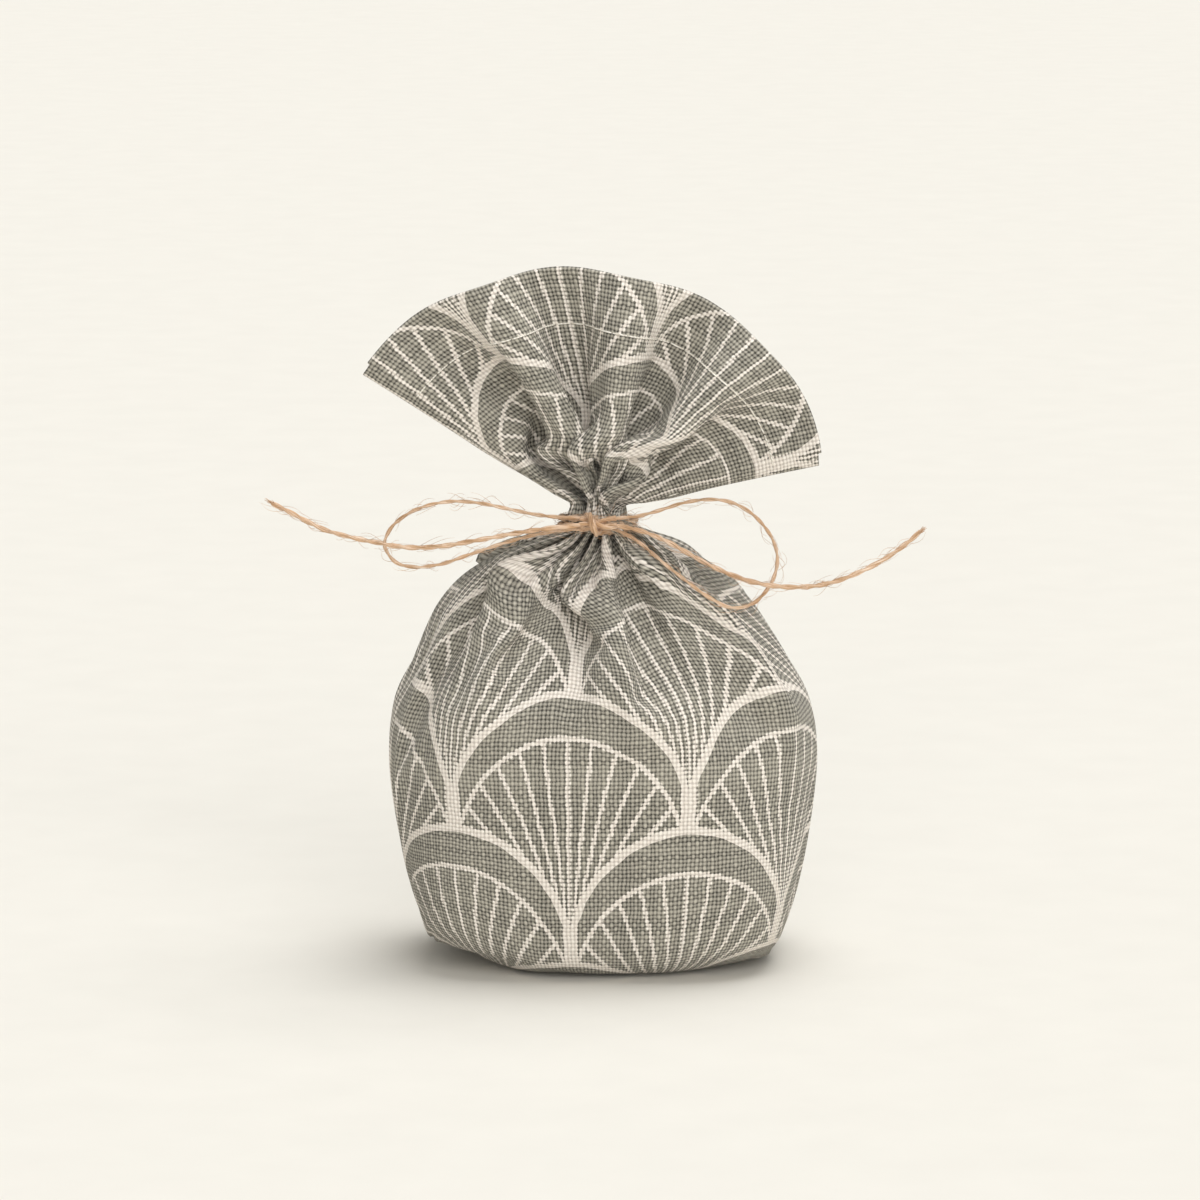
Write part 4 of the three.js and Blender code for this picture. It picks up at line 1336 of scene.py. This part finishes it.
@dataclass
class Bow:
    """The jute tie: two turns round the neck, a knot, two loops and two tails."""

    jute: bpy.types.Material
    neck: np.ndarray
    diameter: float = 1.6
    wrap_radius: float = 8.95
    wrap_pitch: float = 1.5
    wrap_turns: int = 2
    wrap_tilt: float = 1.6
    step: float = 0.45
    pull: float = 30.0
    wrap_drop: float = 1.0
    wrap_lift: float = 0.75
    wrap_sink: float = 1.5
    wrap_slack: float = 0.3
    knot_step: float = 0.4
    loop_thick: float = 0.52
    tail_thick: float = 0.68
    wrap_thick: float = 0.82
    knot_thick: float = 0.8
    turn_thick: float = 0.86

    # right, back and up from the middle of the knot, in millimetres
    LEFT_LOOP = [
        (-3.3, 0.9, 1.05), (-8, 1, 1.3), (-13, 1.2, 1.9), (-18, 1.5, 2.9), (-23, 1.8, 3.9), (-28, 2, 4.3),
        (-33, 2.1, 3.6), (-37.5, 2.2, 1.8), (-41, 2.2, -1.2), (-42.2, 2.2, -4.6), (-40, 1.5, -7.8),
        (-36, 0.2, -8.6), (-31, -1.5, -7.7), (-25, -0.1, -5.9), (-19, 0.8, -4), (-13, 1.1, -2.4),
        (-8, 1, -1.5), (-3.3, 0.9, -1.05),
    ]
    RIGHT_LOOP = [
        (3.3, 0.9, 1.05), (7.5, 1.1, 1.4), (12, 1.5, 2.5), (16.5, 1.9, 3.9), (21, 2.1, 4.6),
        (25.5, 2.1, 4.3), (29.5, 1.9, 2.5), (32.8, 1.6, -0.6), (35, 1.1, -4.4), (35.4, 0.2, -8),
        (33.8, -2.8, -11.9), (30, -6.8, -14.9), (26, -7.5, -15.3), (21.5, -7.4, -13.1), (17, -6.8, -9.9),
        (12, -3.7, -6.3), (7.5, -0.2, -3.1), (3.3, 0.9, -1.05),
    ]
    LEFT_TAIL = [
        (-3.45, -1.3, 0), (-8, -1.4, -0.4), (-13, -1.6, -1), (-18, -1.8, -1.8), (-23, -2, -2.7),
        (-28, -2.1, -3.6), (-33, -2.2, -4.2), (-38, -2.2, -4.2), (-43, -2.2, -3.4), (-48, -2.1, -2.4),
        (-52.5, -2, -1.2), (-56.5, -1.9, 0.5), (-60.5, -1.8, 2.6), (-64.2, -1.7, 4.5),
    ]
    RIGHT_TAIL = [
        (3.45, -1.3, 0), (7.5, -2.2, -0.7), (12, -3.2, -2.1), (16.5, -4, -4.4), (21, -4.5, -6.9),
        (25.5, -4.7, -9), (30, -4.7, -10.6), (34.5, -4.6, -11.5), (39, -4.4, -11.8), (44, -4.1, -11.4),
        (49, -3.8, -10), (53.5, -3.5, -8), (57.5, -3.2, -5.7), (60.8, -3, -3.3), (63.4, -2.8, -1),
    ]

    def line(self, route: list[tuple]) -> np.ndarray:
        """Smooth line of a stretch of twine through its places from the knot."""
        return smooth_through(KNOT_PLACE + np.array(route), self.step)

    def declare(self, piece: bpy.types.Object) -> bpy.types.Object:
        """Return the piece unchanged."""
        return piece

    def loop(self, name: str, route: list[tuple], joint: str, seed: int) -> bpy.types.Object:
        """One loop of the bow, out of the knot and back into it."""
        line = self.line(route)
        twine = Twine(f"{name}_twine", seed)
        twine.lay(line, thick=self.loop_thick, fibres=1.0)
        piece = twine.finish(self.jute, name)
        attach(piece, "pouch")
        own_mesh(piece)
        return self.declare(piece)

    def tail(self, name: str, route: list[tuple], seed: int) -> bpy.types.Object:
        """One tail of the bow, which runs out of the knot to its cut end."""
        line = self.line(route)
        twine = Twine(f"{name}_twine", seed)
        twine.lay(line, thick=self.tail_thick, fibres=1.2)
        twine.fray(line[-1], unit(line[-1] - line[-4]))
        piece = twine.finish(self.jute, name)
        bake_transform(piece)
        return self.declare(piece)

    def wrap(self) -> bpy.types.Object:
        """The turns round the gathered neck, drawn in to the cloth all round."""
        off = self.neck[:, :2] - KNOT_PLACE[:1] * [1, 0]
        bearing = np.arctan2(off[:, 0], -off[:, 1])
        reach = np.linalg.norm(off, axis=1)
        turn = np.linspace(0, 2 * math.pi * self.wrap_turns, 140 * self.wrap_turns + 1)
        bearings = np.linspace(0, 2 * math.pi, 73)
        grip = []
        for angle in bearings:
            apart = np.abs((bearing - angle + math.pi) % (2 * math.pi) - math.pi)
            near = reach[apart < 0.5]
            grip.append(near.max() if len(near) else self.wrap_radius - self.diameter / 2)
        grip = np.convolve(np.concatenate([grip[-7:-1], grip, grip[1:7]]), np.ones(13) / 13, mode="valid")
        radius = np.interp(turn % (2 * math.pi), bearings, grip) + self.wrap_lift
        radius = np.clip(radius, self.wrap_radius - self.wrap_sink, self.wrap_radius + self.wrap_slack)
        LOG.info("wrap radius %.2f to %.2f mm", radius.min(), radius.max())
        rise = self.wrap_pitch * (turn / (2 * math.pi) - self.wrap_turns / 2)
        rise -= self.wrap_tilt * (1 - np.cos(turn)) / 2
        level = KNOT_PLACE[2] - self.wrap_drop + rise
        line = np.stack([KNOT_PLACE[0] + radius * np.sin(turn), -radius * np.cos(turn), level], axis=1)
        total = runs(line)[-1]
        line = resample(line, np.linspace(0, total, int(total / self.step)))
        twine = Twine("neck_wrap_twine", 11)
        twine.lay(line, thick=self.wrap_thick, fibres=1.4)
        piece = twine.finish(self.jute, "twine_wrap")
        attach(piece, "pouch")
        return piece

    def knot(self) -> bpy.types.Object:
        """The knot: the strands that pass through it, and one turn drawn tight over them."""
        twine = Twine("bow_knot_twine", 12)
        passes = [
            [(-3.6, 0.9, 1.05), (-1.5, 0.6, 0.9), (1.2, 0.5, -0.6), (3.6, 0.9, -1.05)],
            [(-3.6, 0.9, -1.05), (-1.4, 0.9, -0.9), (1.3, 0.8, 0.7), (3.6, 0.9, 1.05)],
            [(-3.7, -1.3, 0.0), (-1.6, -1.0, 0.3), (1.6, -1.0, -0.3), (3.7, -1.3, 0.0)],
            [(-2.4, 2.6, 0.9), (0.0, 1.9, 0.3), (2.4, 2.6, -0.7)],
        ]
        for k, route in enumerate(passes):
            line = smooth_through(KNOT_PLACE + np.array(route), self.knot_step)
            twine.lay(line, thick=self.knot_thick, fibres=1.2, twist=0.9 * k)
        around = []
        for turn in np.linspace(-0.5, 0.5, 24):
            angle = 2 * math.pi * turn
            around.append((-1.0 + 3.2 * turn, 0.1 - 2.2 * math.cos(angle), -1.9 * math.sin(angle)))
        line = smooth_through(KNOT_PLACE + np.array(around), self.knot_step)
        twine.lay(line, thick=self.turn_thick, fibres=1.8)
        piece = twine.finish(self.jute, "bow_knot")
        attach(piece, "pouch")
        return piece

    def dress(self) -> list[bpy.types.Object]:
        """Build every stretch of the tie."""
        return [
            self.loop("left_loop", self.LEFT_LOOP, "right_tail_pull", 1),
            self.loop("right_loop", self.RIGHT_LOOP, "left_tail_pull", 2),
            self.tail("left_tail", self.LEFT_TAIL, 3),
            self.tail("right_tail", self.RIGHT_TAIL, 4),
            self.wrap(),
            self.knot(),
        ]


@dataclass
class Studio:
    """A cream floor under soft light, and the camera."""

    target: tuple[float, float, float] = (0.0014, 0.0, 0.0725)
    distance: float = 1.2
    elevation: float = 10.0
    half_view: float = 0.12
    key_from: tuple[float, float, float] = (0.17, 0.16, 1.0)
    key_strength: float = 2.2
    key_spread: float = 46.0
    fill_from: tuple[float, float, float] = (0.25, -1.0, 0.28)
    fill_strength: float = 1.92
    fill_spread: float = 64.0
    sky_strength: float = 0.34
    sky: str = "fffdf8"
    floor_half: float = 9.0

    def floor(self) -> bpy.types.Object:
        """The floor, wide enough to fill the view to its top."""
        builder = bmesh.new()
        bmesh.ops.create_grid(builder, x_segments=4, y_segments=4, size=self.floor_half)
        ground = built_object("floor", builder)
        ground.data.materials.append(StudioPaper().material())
        return ground

    def lamp(self, name: str, place: tuple[float, float, float], strength: float, spread: float) -> None:
        """A far lamp, softer the wider it spreads in degrees."""
        light = bpy.data.lights.new(name, "SUN")
        light.energy = strength
        light.angle = math.radians(spread)
        lamp = bpy.data.objects.new(name, light)
        lamp.rotation_euler = (-Vector(place)).to_track_quat("-Z", "Y").to_euler()
        bpy.context.scene.collection.objects.link(lamp)

    def light(self) -> None:
        """A broad sky, a soft lamp overhead and a softer one in front."""
        world = bpy.data.worlds.new("studio")
        world.use_nodes = True
        background = world.node_tree.nodes["Background"]
        background.inputs["Color"].default_value = linear(self.sky)
        background.inputs["Strength"].default_value = self.sky_strength
        bpy.context.scene.world = world
        self.lamp("key", self.key_from, self.key_strength, self.key_spread)
        self.lamp("fill", self.fill_from, self.fill_strength, self.fill_spread)

    def camera(self) -> None:
        """The camera, a little above the pouch and straight in front of it."""
        lens = bpy.data.cameras.new("camera")
        lens.sensor_fit = "HORIZONTAL"
        lens.angle = 2 * math.atan(self.half_view / self.distance)
        eye = bpy.data.objects.new("camera", lens)
        target = Vector(self.target)
        tilt = math.radians(self.elevation)
        eye.location = target + self.distance * Vector((0, -math.cos(tilt), math.sin(tilt)))
        eye.rotation_euler = (target - eye.location).to_track_quat("-Z", "Y").to_euler()
        bpy.context.scene.collection.objects.link(eye)
        bpy.context.scene.camera = eye


def main() -> None:
    """Build the pieces in order."""
    logging.basicConfig(level=logging.INFO, format="%(name)s: %(message)s")
    bpy.context.scene.view_settings.view_transform = "Standard"
    studio = Studio()
    studio.camera()
    shape = PouchShape()
    LOG.info("panel half width %.1f mm", shape.half_width)
    settled = ClothSettling(shape).run()
    canvas = PrintedCanvas().material()
    # the inner face, its weave also painted with shade in the gaps and light on the yarn tops
    reverse = PrintedCanvas(
        name="unprinted_cotton_canvas", ground_in_gap_shade="5c584e", ground_in_top_light="c2bdb0", printed=False
    ).material()
    thread = SpunThread().material()
    panels = {side: Panel(shape, side, settled[side]) for side in Side}
    front, back = panels[Side.FRONT], panels[Side.BACK]
    middle = 0.5 * (shape.neck_low + shape.neck_high)
    levels = (middle - 2, middle, middle + 2)
    neck = np.concatenate([panel.row(v) for panel in panels.values() for v in levels])
    pieces = Bow(JuteFibre().material(), neck).dress()
    pieces.append(Filling(front, back).dress(PolyesterFill().material()))
    sewn = {Side.FRONT: SideSeams(front, back).dress(reverse, thread), Side.BACK: []}
    stitched = shape.mouth - shape.hem + 1.0
    for side, panel in panels.items():
        stitches = StitchRow(f"{side.name.lower()}_hem_thread")
        line = panel.row(stitched)[2:-2]
        stitches.sew(line, panel.row(stitched, 1.0)[2:-2] - line)
        sewn[side].append(stitches.dress(thread, f"{side.name.lower()}_hem_stitch"))
        pieces += [panel.dress(canvas, reverse, sewn[side]), *sewn[side]]
    for piece in pieces:
        LOG.info("%s: %d faces", piece.name, len(piece.data.polygons))
    studio.floor()
    studio.light()


if __name__ == "__main__":
    main()
